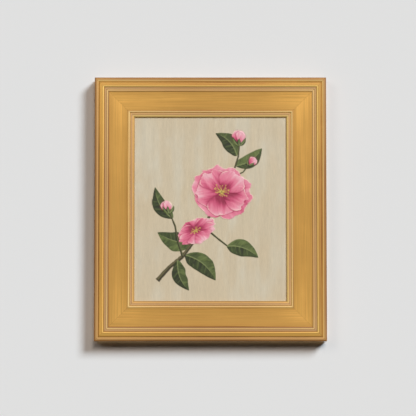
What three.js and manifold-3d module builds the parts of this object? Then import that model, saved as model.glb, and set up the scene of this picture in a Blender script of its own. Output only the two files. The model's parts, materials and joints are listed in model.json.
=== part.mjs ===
// A framed canvas painting: a stretched canvas held in the rabbet of a mitred, gilded wooden frame.
//
// Millimetres, +Z up. The front faces -Y and the wall is the plane y = 0. The origin is the hanging point:
// the middle notch of the sawtooth hanger, on the wall plane. Sub-assemblies are made about the centre of
// the frame's back plane, where "height" is the distance in front of that plane, and are then moved.

import * as THREE from 'three';
import { mergeVertices } from 'three/addons/utils/BufferGeometryUtils.js';
import Module from 'manifold-3d';

const wasm = await Module();
wasm.setup();

// ---- Driving dimensions -------------------------------------------------------------------------------

const SIGHT_WIDTH = 241.3; // the opening that shows the picture, 9.5 by 11.5 in
const SIGHT_HEIGHT = 292.1;
const MOULDING_WIDTH = 63.5; // 2.5 in
const CANVAS_WIDTH = 254; // 10 by 12 in
const CANVAS_HEIGHT = 304.8;

const GAP = 0.3; // between pieces that touch
const MITRE_GAP = 0.1; // half of the glue line, along the rail
const OVERRUN = 1; // how far a cut runs past the face that it opens
const CURVE_STEPS = 5; // straight stretches to each curve of an outline
const SMALL_ROUND = 12; // sides of a turned fastener or a drilled hole
const LARGE_ROUND = 24;

// The moulding's section: u runs inwards from the outer side, height runs forwards from the back.
const RABBET_WIDTH = 7.9;
const RABBET_DEPTH = 19.6;
const SIDE_HEIGHT = 24.6;
const LIP_CREST = 26.4;
const LIP_GROOVE = 25.4;
const ROLL_CREST = 27.9;
const FILLET_HEIGHT = 26.6;
const SMALL_BEAD_CREST = 26.1;
const PANEL_OUTER = 24.8;
const PANEL_INNER = 23.9;
const INNER_BEAD_CREST = 24.5;
const INNER_FILLET = 23.4;
const SIGHT_EDGE = 20.9;

// The stretched canvas. Its pack is the linen, the bars and the linen turned over behind them.
const LINEN = 0.7;
const PACK_DEPTH = 18.6;
const PACK_FRONT = RABBET_DEPTH - GAP;
const TURNOVER = 20; // width of the linen turned over behind the bars
const BAR_WIDTH = 38;
const BAR_BEVEL = 3; // how far the bar's front falls away from the linen
const BAR_LIP = 5; // width of the lip that the linen rides on
const BAR_STEP = 1; // depth of the step inside that lip
const TONGUE = [6.0, 10.4]; // heights of the corner tongue
const TONGUE_ROOT = 2; // how far the tongue starts inside its own bar
const KEY_THICKNESS = 2.4;
const KEY_LENGTH = 25;
const KEY_DRIVEN = 8; // how far a key is driven into its slot
const KEY_WIDTHS = [5, 11]; // at its tip and at its head
const KEY_SLOT_WIDTH = 7.6;
const KEY_SLOT_DEPTH = 9.5;

const STAPLE_CROWN = 10;
const STAPLE_WIRE = [0.45, 0.9]; // thickness and width of the flattened wire
const STAPLE_LEG = 5.5;
const STAPLE_INSET = 10; // from the canvas's outer edge
const STAPLE_SLACK = 0.25;
const STAPLE_PROUD = 0.1; // between the crown and the linen under it
const STAPLE_PLACES = { horizontal: [-86, 0, 86], vertical: [-105, -35, 35, 105] };

// Fasteners and fittings on the back.
const V_NAIL_ARM = 7;
const V_NAIL_SHEET = 0.8;
const V_NAIL_BARB = 1.6;
const V_NAIL_DEPTH = 10;
const V_NAIL_PLACES = { outer: 14, inner: 42 }; // along both rails from the corner

const BUTTON_LENGTH = 34;
const BUTTON_THICKNESS = 1;
const BUTTON_RADII = [6, 4.5]; // round the screw and at the tip
const BUTTON_HOLE = 2;
const BUTTON_CURVE_STEPS = 8;
const BUTTON_SCREW_INSET = 14; // from the rabbet's edge
const BUTTON_SPREAD = 54; // of the upper and lower pairs, from the middle
const SCREW_SHANK = 1.5;
const SCREW_HEAD = 3.6;
const SCREW_HEAD_HEIGHT = 1.6;
const SCREW_HEAD_RIM = 0.5; // height of the head's upright edge
const SCREW_HEAD_FLAT = [2.6, 0.2]; // radius where the head's crown flattens, and its fall to there
const SCREW_DEPTH = 11;
const SCREW_POINT = 2;
const PILOT_SLACK = 0.3;
const PILOT_ROOM = 0.5; // beyond the tip of a screw or nail

const HANGER_LENGTH = 45;
const HANGER_WIDTH = 10;
const HANGER_SHEET = 1;
const HANGER_RISE = 1.4; // of the toothed bridge above the end tabs
const HANGER_TAB = 7.5;
const HANGER_JOG = 1.5;
const HANGER_TEETH = 9;
const HANGER_PITCH = 2.8;
const HANGER_TOOTH = 1.6;
const HANGER_FROM_TOP = 25; // the hanging notch below the frame's top edge
const NAIL_SHANK = 0.7;
const NAIL_HEAD = 2;
const NAIL_HEAD_HEIGHT = 0.6;
const NAIL_CROWN = 0.1;
const NAIL_DEPTH = 10;
const NAIL_POINT = 1.5;

const BUMPER_RADIUS = 6.35;
const BUMPER_THICKNESS = 3.5;
const BUMPER_CHAMFER = 0.6;
const BUMPER_INSET = 28;

// ---- Sizes worked out from them -----------------------------------------------------------------------

const FRAME_WIDTH = SIGHT_WIDTH + 2 * MOULDING_WIDTH;
const FRAME_HEIGHT = SIGHT_HEIGHT + 2 * MOULDING_WIDTH;
const BACK_FLAT = MOULDING_WIDTH - RABBET_WIDTH;
const PACK_BACK = PACK_FRONT - PACK_DEPTH;
const BAR_BACK = PACK_BACK + LINEN + GAP;
const BAR_FRONT = PACK_FRONT - LINEN - GAP;
const STRETCHER_WIDTH = CANVAS_WIDTH - 2 * (LINEN + GAP);
const STRETCHER_HEIGHT = CANVAS_HEIGHT - 2 * (LINEN + GAP);
const WELL_X = STRETCHER_WIDTH / 2 - BAR_WIDTH;
const WELL_Z = STRETCHER_HEIGHT / 2 - BAR_WIDTH;
const CANVAS_DROP = (FRAME_HEIGHT - 2 * BACK_FLAT - CANVAS_HEIGHT) / 2 - GAP;
const NOTCH_Z = FRAME_HEIGHT / 2 - HANGER_FROM_TOP;

const SIDES = ['bottom', 'left', 'top', 'right'];
const CORNERS = [
  { name: 'top_left', x: -1, z: 1 },
  { name: 'top_right', x: 1, z: 1 },
  { name: 'bottom_left', x: -1, z: -1 },
  { name: 'bottom_right', x: 1, z: -1 },
];

// ---- Finishes -----------------------------------------------------------------------------------------

const finish = (color, roughness, metalness) => new THREE.MeshStandardMaterial({ color, roughness, metalness });

const giltWood = () => finish(0xc08f4a, 0.42, 0.6);
const pine = () => finish(0xd9b98a, 0.75, 0);
const beech = () => finish(0xd8bd92, 0.7, 0);
const linen = () => finish(0xcdbda3, 0.85, 0);
const zincSteel = () => finish(0xb4b6b8, 0.35, 1);
const brassedSteel = () => finish(0xb89650, 0.35, 1);
const bumperFelt = () => finish(0x4a443d, 0.95, 0);

// ---- Solids: joins and cuts ---------------------------------------------------------------------------

function toSolid(geometry) {
  const bare = geometry.clone();
  bare.deleteAttribute('normal');
  bare.deleteAttribute('uv');
  const merged = mergeVertices(bare, 1e-4);
  const vertProperties = new Float32Array(merged.attributes.position.array);
  const triVerts = new Uint32Array(merged.index.array);
  return new wasm.Manifold(new wasm.Mesh({ numProp: 3, vertProperties, triVerts }));
}

function toGeometry(solid) {
  const mesh = solid.getMesh();
  const geometry = new THREE.BufferGeometry();
  geometry.setAttribute('position', new THREE.BufferAttribute(new Float32Array(mesh.vertProperties), 3));
  geometry.setIndex(new THREE.BufferAttribute(new Uint32Array(mesh.triVerts), 1));
  geometry.computeVertexNormals();
  return geometry;
}

function cut(geometry, tools) {
  const solid = tools.reduce((body, tool) => body.subtract(toSolid(tool)), toSolid(geometry));
  return toGeometry(solid);
}

function join(geometry, others) {
  const solid = others.reduce((body, other) => body.add(toSolid(other)), toSolid(geometry));
  return toGeometry(solid);
}

function intersect(first, second) {
  return toGeometry(toSolid(first).intersect(toSolid(second)));
}

// ---- Plain shapes in the frame's axes -----------------------------------------------------------------

// A box between two x, two heights in front of the back plane, and two z.
function boxBetween([x0, x1], [h0, h1], [z0, z1]) {
  const geometry = new THREE.BoxGeometry(Math.abs(x1 - x0), h1 - h0, Math.abs(z1 - z0));
  return geometry.translate((x0 + x1) / 2, -(h0 + h1) / 2, (z0 + z1) / 2);
}

function polygon(points) {
  const shape = new THREE.Shape();
  points.forEach(([x, y], i) => (i ? shape.lineTo(x, y) : shape.moveTo(x, y)));
  shape.closePath();
  return shape;
}

// An outline in x and z, as thick as the distance between two heights.
function plate(shape, [h0, h1], curveSegments = CURVE_STEPS) {
  const geometry = new THREE.ExtrudeGeometry(shape, { depth: h1 - h0, bevelEnabled: false, curveSegments });
  return geometry.rotateX(Math.PI / 2).translate(0, -h0, 0);
}

// A turned piece about the y axis. The profile's points are [radius, height in front of the back plane].
function turned(profile, segments) {
  const points = profile.map(([radius, height]) => new THREE.Vector2(radius, height)).reverse();
  return new THREE.LatheGeometry(points, segments).rotateX(Math.PI);
}

// ---- Mitred lengths: rails and bars -------------------------------------------------------------------

// A section carried along one side of a rectangle and mitred at both ends. The section's x runs inwards
// from the rectangle's edge and its y is the height in front of the back plane.
function mitredLength(section, side, width, height, gap) {
  const upright = side === 'left' || side === 'right';
  const [length, reach] = upright ? [height, width / 2] : [width, height / 2];
  const geometry = new THREE.ExtrudeGeometry(section, {
    depth: length,
    bevelEnabled: false,
    curveSegments: CURVE_STEPS,
  });
  const place = geometry.attributes.position;
  for (let i = 0; i < place.count; i += 1) {
    const inwards = place.getX(i) + gap;
    const along = place.getZ(i) < length / 2 ? inwards - length / 2 : length / 2 - inwards;
    place.setXYZ(i, along, -place.getY(i), place.getX(i) - reach);
  }
  geometry.computeVertexNormals();
  return geometry.rotateY((SIDES.indexOf(side) * Math.PI) / 2);
}

function mouldingSection() {
  const s = new THREE.Shape();
  s.moveTo(0, 0);
  s.lineTo(0, SIDE_HEIGHT);
  s.quadraticCurveTo(0.2, LIP_CREST - 0.4, 2.6, LIP_CREST - 0.1); // rounded outer edge
  s.quadraticCurveTo(4.4, LIP_CREST + 0.2, 6.1, LIP_CREST - 0.4); // lip
  s.lineTo(6.7, LIP_GROOVE);
  s.lineTo(7.6, LIP_GROOVE);
  s.lineTo(8.0, LIP_GROOVE + 1.0);
  s.quadraticCurveTo(10.0, ROLL_CREST - 0.9, 12.2, ROLL_CREST - 0.5); // slope up to the roll
  s.quadraticCurveTo(12.8, ROLL_CREST, 13.8, ROLL_CREST); // top roll
  s.quadraticCurveTo(15.1, ROLL_CREST, 15.5, ROLL_CREST - 0.8);
  s.lineTo(15.6, FILLET_HEIGHT);
  s.lineTo(18.5, FILLET_HEIGHT - 0.1);
  s.lineTo(18.7, FILLET_HEIGHT - 0.7);
  s.lineTo(19.4, FILLET_HEIGHT - 0.7);
  s.quadraticCurveTo(20.8, SMALL_BEAD_CREST + 0.5, 22.2, FILLET_HEIGHT - 1.2); // small bead
  s.lineTo(22.5, PANEL_OUTER);
  s.quadraticCurveTo(37, (PANEL_OUTER + PANEL_INNER) / 2 - 0.3, 52.6, PANEL_INNER); // hollow panel
  s.quadraticCurveTo(54.4, INNER_BEAD_CREST + 0.9, 56.1, INNER_FILLET); // inner bead
  s.lineTo(56.3, INNER_FILLET - 0.3);
  s.lineTo(57.0, INNER_FILLET - 0.3);
  s.lineTo(57.2, INNER_FILLET);
  s.lineTo(59.0, INNER_FILLET - 0.1);
  s.lineTo(59.3, INNER_FILLET - 0.4);
  s.lineTo(60.3, INNER_FILLET - 0.4);
  s.quadraticCurveTo(62.0, INNER_FILLET - 1.2, MOULDING_WIDTH, SIGHT_EDGE); // sight edge
  s.lineTo(MOULDING_WIDTH, RABBET_DEPTH);
  s.lineTo(BACK_FLAT, RABBET_DEPTH);
  s.lineTo(BACK_FLAT, 0);
  s.closePath();
  return s;
}

function barSection() {
  return polygon([
    [0, BAR_BACK],
    [0, BAR_FRONT],
    [BAR_LIP, BAR_FRONT],
    [BAR_LIP + BAR_STEP, BAR_FRONT - BAR_STEP],
    [BAR_WIDTH, BAR_FRONT - BAR_BEVEL],
    [BAR_WIDTH, BAR_BACK],
  ]);
}

// ---- V-nails ------------------------------------------------------------------------------------------

// A bent strip with an arm in each rail and a barb on the end of each arm. `slack` widens it on all sides.
function vNailOutline(corner, inset, slack) {
  const x0 = FRAME_WIDTH / 2 - inset;
  const z0 = FRAME_HEIGHT / 2 - inset;
  const near = -slack;
  const far = V_NAIL_SHEET + slack;
  const end = V_NAIL_ARM + slack;
  const barb = V_NAIL_SHEET + V_NAIL_BARB + slack;
  const barbStart = V_NAIL_ARM - V_NAIL_SHEET - slack;
  const arm = [
    [end, near],
    [end, barb],
    [barbStart, barb],
    [barbStart, far],
  ];
  const mirrored = arm.map(([a, b]) => [b, a]).reverse();
  const outline = [[near, near], ...arm, [far, far], ...mirrored];
  return polygon(outline.map(([a, b]) => [corner.x * (x0 + a), corner.z * (z0 + b)]));
}

function vNail(corner, inset) {
  return plate(vNailOutline(corner, inset, 0), [GAP, V_NAIL_DEPTH]);
}

function vNailSlot(corner, inset) {
  return plate(vNailOutline(corner, inset, GAP), [-OVERRUN, V_NAIL_DEPTH + GAP]);
}

const vNails = CORNERS.flatMap((corner) =>
  Object.entries(V_NAIL_PLACES).map(([place, inset]) => ({
    name: `v_nail_${corner.name}_${place}`,
    corner,
    inset,
  })),
);

// ---- Turn buttons and their screws --------------------------------------------------------------------

const SCREW_X = FRAME_WIDTH / 2 - BACK_FLAT + BUTTON_SCREW_INSET;
const SCREW_Z = FRAME_HEIGHT / 2 - BACK_FLAT + BUTTON_SCREW_INSET;

// `turn` points the button's tip at the canvas.
const buttons = [
  { name: 'top_left', x: -BUTTON_SPREAD, z: SCREW_Z, turn: Math.PI / 2 },
  { name: 'top_right', x: BUTTON_SPREAD, z: SCREW_Z, turn: Math.PI / 2 },
  { name: 'bottom_left', x: -BUTTON_SPREAD, z: -SCREW_Z, turn: -Math.PI / 2 },
  { name: 'bottom_right', x: BUTTON_SPREAD, z: -SCREW_Z, turn: -Math.PI / 2 },
  { name: 'left', x: -SCREW_X, z: 0, turn: 0 },
  { name: 'right', x: SCREW_X, z: 0, turn: Math.PI },
];

// A tapered steel tab along +x with its screw hole at the origin.
function turnButton() {
  const [root, tip] = BUTTON_RADII;
  const tipX = BUTTON_LENGTH - root - tip;
  const lean = Math.asin((root - tip) / tipX);
  const shape = new THREE.Shape();
  shape.absarc(0, 0, root, Math.PI / 2 - lean, -Math.PI / 2 + lean, false);
  shape.absarc(tipX, 0, tip, -Math.PI / 2 + lean, Math.PI / 2 - lean, false);
  shape.closePath();
  const hole = new THREE.Path();
  hole.absarc(0, 0, BUTTON_HOLE, 0, 2 * Math.PI, true);
  shape.holes.push(hole);
  return plate(shape, [-GAP - BUTTON_THICKNESS, -GAP], BUTTON_CURVE_STEPS);
}

function turnButtonScrew() {
  const under = -2 * GAP - BUTTON_THICKNESS;
  const top = under - SCREW_HEAD_HEIGHT;
  const [flat, fall] = SCREW_HEAD_FLAT;
  return turned(
    [
      [0, SCREW_DEPTH],
      [SCREW_SHANK, SCREW_DEPTH - SCREW_POINT],
      [SCREW_SHANK, under],
      [SCREW_HEAD, under],
      [SCREW_HEAD, under - SCREW_HEAD_RIM],
      [flat, top + fall],
      [0, top],
    ],
    SMALL_ROUND,
  );
}

// ---- Sawtooth hanger and its nails --------------------------------------------------------------------

const NAIL_X = HANGER_LENGTH / 2 - HANGER_TAB / 2;
const HANGER_Z = [NOTCH_Z - HANGER_TOOTH, NOTCH_Z - HANGER_TOOTH + HANGER_WIDTH];
const NAIL_Z = (HANGER_Z[0] + HANGER_Z[1]) / 2;

// The strip seen along z: flat tabs with a raised bridge between them.
function hangerStrip() {
  const end = HANGER_LENGTH / 2;
  const foot = end - HANGER_TAB;
  const shoulder = foot - HANGER_JOG;
  const half = [
    [shoulder, HANGER_RISE],
    [foot, 0],
    [end, 0],
    [end, HANGER_SHEET],
    [foot, HANGER_SHEET],
    [shoulder, HANGER_RISE + HANGER_SHEET],
  ];
  const other = half.map(([x, y]) => [-x, y]).reverse();
  const strip = new THREE.ExtrudeGeometry(polygon([...half, ...other]), {
    depth: HANGER_WIDTH,
    bevelEnabled: false,
  });
  return strip.translate(0, 0, HANGER_Z[0]);
}

// Its front view: a strip with notches along the lower edge of the bridge.
function hangerOutline() {
  const end = HANGER_LENGTH / 2;
  const row = (HANGER_TEETH * HANGER_PITCH) / 2;
  const teeth = [];
  for (let i = 0; i < HANGER_TEETH; i += 1) {
    const start = -row + i * HANGER_PITCH;
    teeth.push([start, HANGER_Z[0]], [start + HANGER_PITCH / 2, NOTCH_Z]);
  }
  teeth.push([row, HANGER_Z[0]]);
  const ends = [
    [end, HANGER_Z[0]],
    [end, HANGER_Z[1]],
    [-end, HANGER_Z[1]],
    [-end, HANGER_Z[0]],
  ];
  return polygon([...teeth, ...ends]);
}

function sawtoothHanger() {
  const through = [-HANGER_WIDTH, HANGER_WIDTH];
  const toothed = intersect(hangerStrip(), plate(hangerOutline(), through));
  const holes = [-NAIL_X, NAIL_X].map((x) => hole(x, NAIL_Z, NAIL_SHANK + PILOT_SLACK, through));
  return cut(toothed, holes);
}

function hangerNail() {
  const under = -HANGER_SHEET - GAP;
  return turned(
    [
      [0, NAIL_DEPTH],
      [NAIL_SHANK, NAIL_DEPTH - NAIL_POINT],
      [NAIL_SHANK, under],
      [NAIL_HEAD, under],
      [NAIL_HEAD, under - NAIL_HEAD_HEIGHT],
      [0, under - NAIL_HEAD_HEIGHT - NAIL_CROWN],
    ],
    SMALL_ROUND,
  );
}

// A round hole's drill, between two heights.
function hole(x, z, radius, [h0, h1]) {
  const drill = new THREE.CylinderGeometry(radius, radius, h1 - h0, SMALL_ROUND);
  return drill.translate(x, -(h0 + h1) / 2, z);
}

// ---- Frame rails --------------------------------------------------------------------------------------

function railTools(side) {
  const slots = vNails.map(({ corner, inset }) => vNailSlot(corner, inset));
  const screwDepth = [-OVERRUN, SCREW_DEPTH + PILOT_ROOM];
  const nailDepth = [-OVERRUN, NAIL_DEPTH + PILOT_ROOM];
  const pilots = buttons.map(({ x, z }) => hole(x, z, SCREW_SHANK + PILOT_SLACK, screwDepth));
  const nails = [-NAIL_X, NAIL_X].map((x) => hole(x, NAIL_Z, NAIL_SHANK + PILOT_SLACK, nailDepth));
  return side === 'top' ? [...slots, ...pilots, ...nails] : [...slots, ...pilots];
}

function frameRail(side) {
  const rail = mitredLength(mouldingSection(), side, FRAME_WIDTH, FRAME_HEIGHT, MITRE_GAP);
  return cut(rail, railTools(side));
}

function bumper() {
  return turned(
    [
      [0, 0],
      [BUMPER_RADIUS, 0],
      [BUMPER_RADIUS, -BUMPER_THICKNESS + BUMPER_CHAMFER],
      [BUMPER_RADIUS - BUMPER_CHAMFER, -BUMPER_THICKNESS],
      [0, -BUMPER_THICKNESS],
    ],
    LARGE_ROUND,
  );
}

// ---- Stretcher bars, keys and staples -----------------------------------------------------------------

// The tongue on each end of a horizontal bar. With some slack it is the slot in the upright bar instead.
function tongue(corner, slack) {
  const start = slack ? WELL_X : WELL_X - TONGUE_ROOT;
  const outer = slack ? OVERRUN : -2 * GAP;
  return boxBetween(
    [corner.x * start, corner.x * (STRETCHER_WIDTH / 2 + outer)],
    [TONGUE[0] - slack, TONGUE[1] + slack],
    [corner.z * (WELL_Z - slack), corner.z * (STRETCHER_HEIGHT / 2 + outer)],
  );
}

// Keys lie in front of the tongue in a horizontal bar's slot, and behind it in an upright bar's slot.
const KEY_LEVELS = {
  horizontal: [TONGUE[1] + GAP, TONGUE[1] + GAP + KEY_THICKNESS],
  vertical: [TONGUE[0] - GAP - KEY_THICKNESS, TONGUE[0] - GAP],
};

// `aside` runs from the well's corner across the key, and `into` runs from the well into the bar.
function atWellCorner(corner, bars, aside, into) {
  return bars === 'horizontal'
    ? [corner.x * (WELL_X - aside), corner.z * (WELL_Z + into)]
    : [corner.x * (WELL_X + into), corner.z * (WELL_Z - aside)];
}

function canvasKey(corner, bars) {
  const [tip, head] = KEY_WIDTHS;
  const back = KEY_DRIVEN - KEY_LENGTH;
  const outline = [
    [GAP, KEY_DRIVEN],
    [GAP, back],
    [GAP + head, back],
    [GAP + tip, KEY_DRIVEN],
  ];
  return plate(polygon(outline.map(([a, b]) => atWellCorner(corner, bars, a, b))), KEY_LEVELS[bars]);
}

function keySlot(corner, bars) {
  const [x0, z0] = atWellCorner(corner, bars, KEY_SLOT_WIDTH, -OVERRUN);
  const [x1, z1] = atWellCorner(corner, bars, -BAR_WIDTH, KEY_SLOT_DEPTH);
  const [low, high] = KEY_LEVELS[bars];
  return boxBetween([x0, x1], [low - GAP, high + GAP], [z0, z1]);
}

// A staple's crown lies along x, centred on the origin, with its legs pointing forwards.
function staple() {
  const [thick, wide] = STAPLE_WIRE;
  const out = STAPLE_CROWN / 2;
  const crown = PACK_BACK - STAPLE_PROUD - thick;
  const shape = polygon([
    [-out, -crown],
    [-out, -STAPLE_LEG],
    [-out + thick, -STAPLE_LEG],
    [-out + thick, -crown - thick],
    [out - thick, -crown - thick],
    [out - thick, -STAPLE_LEG],
    [out, -STAPLE_LEG],
    [out, -crown],
  ]);
  const geometry = new THREE.ExtrudeGeometry(shape, { depth: wide, bevelEnabled: false });
  return geometry.translate(0, 0, -wide / 2);
}

// The two holes that a staple's legs make, in the place of that staple.
function stapleHoles({ x, z, turn }) {
  const [thick, wide] = STAPLE_WIRE;
  return [-1, 1].map((end) => {
    const middle = end * (STAPLE_CROWN / 2 - thick / 2);
    const reach = thick / 2 + STAPLE_SLACK;
    const across = wide / 2 + STAPLE_SLACK;
    const depth = [-OVERRUN, STAPLE_LEG + GAP];
    const leg = boxBetween([middle - reach, middle + reach], depth, [-across, across]);
    return leg.rotateY(turn).translate(x, 0, z);
  });
}

const staples = [
  ...['top', 'bottom'].flatMap((side) =>
    STAPLE_PLACES.horizontal.map((x, i) => ({
      name: `staple_${side}_${i + 1}`,
      x,
      z: (side === 'top' ? 1 : -1) * (CANVAS_HEIGHT / 2 - STAPLE_INSET),
      turn: 0,
    })),
  ),
  ...['left', 'right'].flatMap((side) =>
    STAPLE_PLACES.vertical.map((z, i) => ({
      name: `staple_${side}_${i + 1}`,
      x: (side === 'right' ? 1 : -1) * (CANVAS_WIDTH / 2 - STAPLE_INSET),
      z,
      turn: Math.PI / 2,
    })),
  ),
];

function stretcherBar(side) {
  const plain = mitredLength(barSection(), side, STRETCHER_WIDTH, STRETCHER_HEIGHT, MITRE_GAP);
  const legs = staples.filter(({ name }) => name.includes(`_${side}_`)).flatMap(stapleHoles);
  if (side === 'left' || side === 'right') {
    const slots = CORNERS.flatMap((corner) => [tongue(corner, GAP), keySlot(corner, 'vertical')]);
    return cut(plain, [...slots, ...legs]);
  }
  const ends = CORNERS.filter(({ z }) => (z > 0) === (side === 'top'));
  const tongued = join(plain, ends.map((corner) => tongue(corner, 0)));
  return cut(tongued, [...ends.map((corner) => keySlot(corner, 'horizontal')), ...legs]);
}

// ---- Canvas -------------------------------------------------------------------------------------------

// One sheet: the painted front, four sides and the turned-over edges behind the bars.
function canvasSheet() {
  const halfX = CANVAS_WIDTH / 2;
  const halfZ = CANVAS_HEIGHT / 2;
  const inside = [halfX - LINEN, halfZ - LINEN];
  const outer = boxBetween([-halfX, halfX], [PACK_BACK, PACK_FRONT], [-halfZ, halfZ]);
  const hollow = boxBetween(
    [-inside[0], inside[0]],
    [PACK_BACK + LINEN, PACK_FRONT - LINEN],
    [-inside[1], inside[1]],
  );
  const backOpening = boxBetween(
    [TURNOVER - halfX, halfX - TURNOVER],
    [PACK_BACK - OVERRUN, PACK_BACK + LINEN + OVERRUN],
    [TURNOVER - halfZ, halfZ - TURNOVER],
  );
  return cut(outer, [hollow, backOpening, ...staples.flatMap(stapleHoles)]);
}

// ---- Assembly -----------------------------------------------------------------------------------------

function piece(name, geometry, material) {
  const mesh = new THREE.Mesh(geometry, material);
  mesh.name = name;
  return mesh;
}

function mouldingGroup() {
  const group = new THREE.Group();
  SIDES.forEach((side) => group.add(piece(`frame_rail_${side}`, frameRail(side), giltWood())));
  vNails.forEach(({ name, corner, inset }) => group.add(piece(name, vNail(corner, inset), zincSteel())));
  return group;
}

function canvasGroup() {
  const group = new THREE.Group();
  group.add(piece('canvas', canvasSheet(), linen()));
  SIDES.forEach((side) => group.add(piece(`stretcher_bar_${side}`, stretcherBar(side), pine())));
  CORNERS.forEach((corner) => {
    ['horizontal', 'vertical'].forEach((bars) => {
      group.add(piece(`canvas_key_${corner.name}_${bars}`, canvasKey(corner, bars), beech()));
    });
  });
  staples.forEach(({ name, x, z, turn }) => {
    const mesh = piece(name, staple(), zincSteel());
    mesh.position.set(x, 0, z);
    mesh.rotation.y = turn;
    group.add(mesh);
  });
  group.position.z = -CANVAS_DROP;
  return group;
}

function fittingsGroup() {
  const group = new THREE.Group();
  buttons.forEach(({ name, x, z, turn }) => {
    const button = piece(`turn_button_${name}`, turnButton(), zincSteel());
    button.position.set(x, 0, z);
    button.rotation.y = turn;
    const screw = piece(`turn_button_screw_${name}`, turnButtonScrew(), zincSteel());
    screw.position.set(x, 0, z);
    group.add(button, screw);
  });
  group.add(piece('sawtooth_hanger', sawtoothHanger(), brassedSteel()));
  [['left', -1], ['right', 1]].forEach(([name, sign]) => {
    const nail = piece(`hanger_nail_${name}`, hangerNail(), brassedSteel());
    nail.position.set(sign * NAIL_X, 0, NAIL_Z);
    const pad = piece(`wall_bumper_${name}`, bumper(), bumperFelt());
    pad.position.set(sign * (FRAME_WIDTH / 2 - BUMPER_INSET), 0, BUMPER_INSET - FRAME_HEIGHT / 2);
    group.add(nail, pad);
  });
  return group;
}

const framedPainting = new THREE.Group();
framedPainting.add(mouldingGroup(), canvasGroup(), fittingsGroup());
framedPainting.position.set(0, -BUMPER_THICKNESS, -NOTCH_Z);

export default framedPainting;
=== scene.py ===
"""Looks of a framed canvas painting: a mitred, gilded wooden frame, a stretched canvas and its fittings.

Everything is in metres in the part's own frame. +Z is up, the picture faces -Y, the wall is the plane
y = 0, and the origin is the middle notch of the hanger, on the wall. A class's sizes are in millimetres
and are brought to metres by MM. "Height" is the distance in front of the frame's back plane.
"""

from __future__ import annotations

import json
import logging
import math
from dataclasses import dataclass, field
from enum import Enum
from functools import cache

import bmesh
import bpy
import numpy as np
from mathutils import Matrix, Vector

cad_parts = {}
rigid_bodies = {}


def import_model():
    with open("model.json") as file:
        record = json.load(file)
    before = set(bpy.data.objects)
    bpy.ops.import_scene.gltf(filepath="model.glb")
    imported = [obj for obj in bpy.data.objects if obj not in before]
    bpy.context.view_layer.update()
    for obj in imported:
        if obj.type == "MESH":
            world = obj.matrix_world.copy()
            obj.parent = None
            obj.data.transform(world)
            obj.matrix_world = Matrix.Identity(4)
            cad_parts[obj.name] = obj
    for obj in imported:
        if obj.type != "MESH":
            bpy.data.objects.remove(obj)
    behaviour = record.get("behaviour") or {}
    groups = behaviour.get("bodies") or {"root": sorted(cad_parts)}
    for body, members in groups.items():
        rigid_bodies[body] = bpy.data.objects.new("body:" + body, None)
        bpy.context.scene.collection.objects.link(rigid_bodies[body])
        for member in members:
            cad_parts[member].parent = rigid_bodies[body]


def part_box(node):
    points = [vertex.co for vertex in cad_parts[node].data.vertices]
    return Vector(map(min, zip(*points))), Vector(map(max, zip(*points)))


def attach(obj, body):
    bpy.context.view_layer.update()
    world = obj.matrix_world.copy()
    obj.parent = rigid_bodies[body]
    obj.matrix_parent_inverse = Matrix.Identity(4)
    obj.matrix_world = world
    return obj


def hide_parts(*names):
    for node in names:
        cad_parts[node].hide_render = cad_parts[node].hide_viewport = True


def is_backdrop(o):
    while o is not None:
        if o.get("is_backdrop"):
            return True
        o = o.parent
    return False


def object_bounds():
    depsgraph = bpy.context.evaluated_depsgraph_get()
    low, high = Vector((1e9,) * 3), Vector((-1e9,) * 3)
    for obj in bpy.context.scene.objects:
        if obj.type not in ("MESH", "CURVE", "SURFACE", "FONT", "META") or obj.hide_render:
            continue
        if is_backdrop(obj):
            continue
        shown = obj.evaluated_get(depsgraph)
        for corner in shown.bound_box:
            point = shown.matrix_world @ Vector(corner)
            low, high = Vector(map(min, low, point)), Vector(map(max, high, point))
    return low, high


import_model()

Array = np.ndarray
Pair = tuple[float, float]
Socket = bpy.types.NodeSocket

MM = 0.001
ROOT = "root"
QUARTER = np.linspace(0, np.pi / 2, 6)
LOG = logging.getLogger("framed_painting")


def to_linear(shown: Array) -> Array:
    """Turns display colour, 0 to 1 a channel, into linear colour by the usual display curve."""
    return np.where(shown <= 0.04045, shown / 12.92, ((shown + 0.055) / 1.055) ** 2.4)


def linear(red: int, green: int, blue: int) -> tuple[float, ...]:
    """Turns a display colour, 0 to 255 a channel, into a shader's linear colour with an alpha of 1."""
    return (*to_linear(np.array([red, green, blue]) / 255).tolist(), 1.0)


def smooth_step(value: Array, low: float | Array, high: float | Array) -> Array:
    """Rises from 0 at `low` to 1 at `high` as 3t^2 - 2t^3."""
    t = np.clip((value - low) / (high - low), 0, 1)
    return t * t * (3 - 2 * t)


def run_along(path: Array) -> Array:
    """The distance along a path from its first row to each row."""
    return np.concatenate([[0], np.cumsum(np.linalg.norm(np.diff(path, axis=0), axis=1))])


def read_columns(wanted: Array, known: Array, table: Array) -> Array:
    """Reads every column of a table, whose rows stand at `known`, at the `wanted` places."""
    return np.stack([np.interp(wanted, known, column) for column in table.T], axis=1)


# ---- Meshes ---------------------------------------------------------------------------------------------


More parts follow.
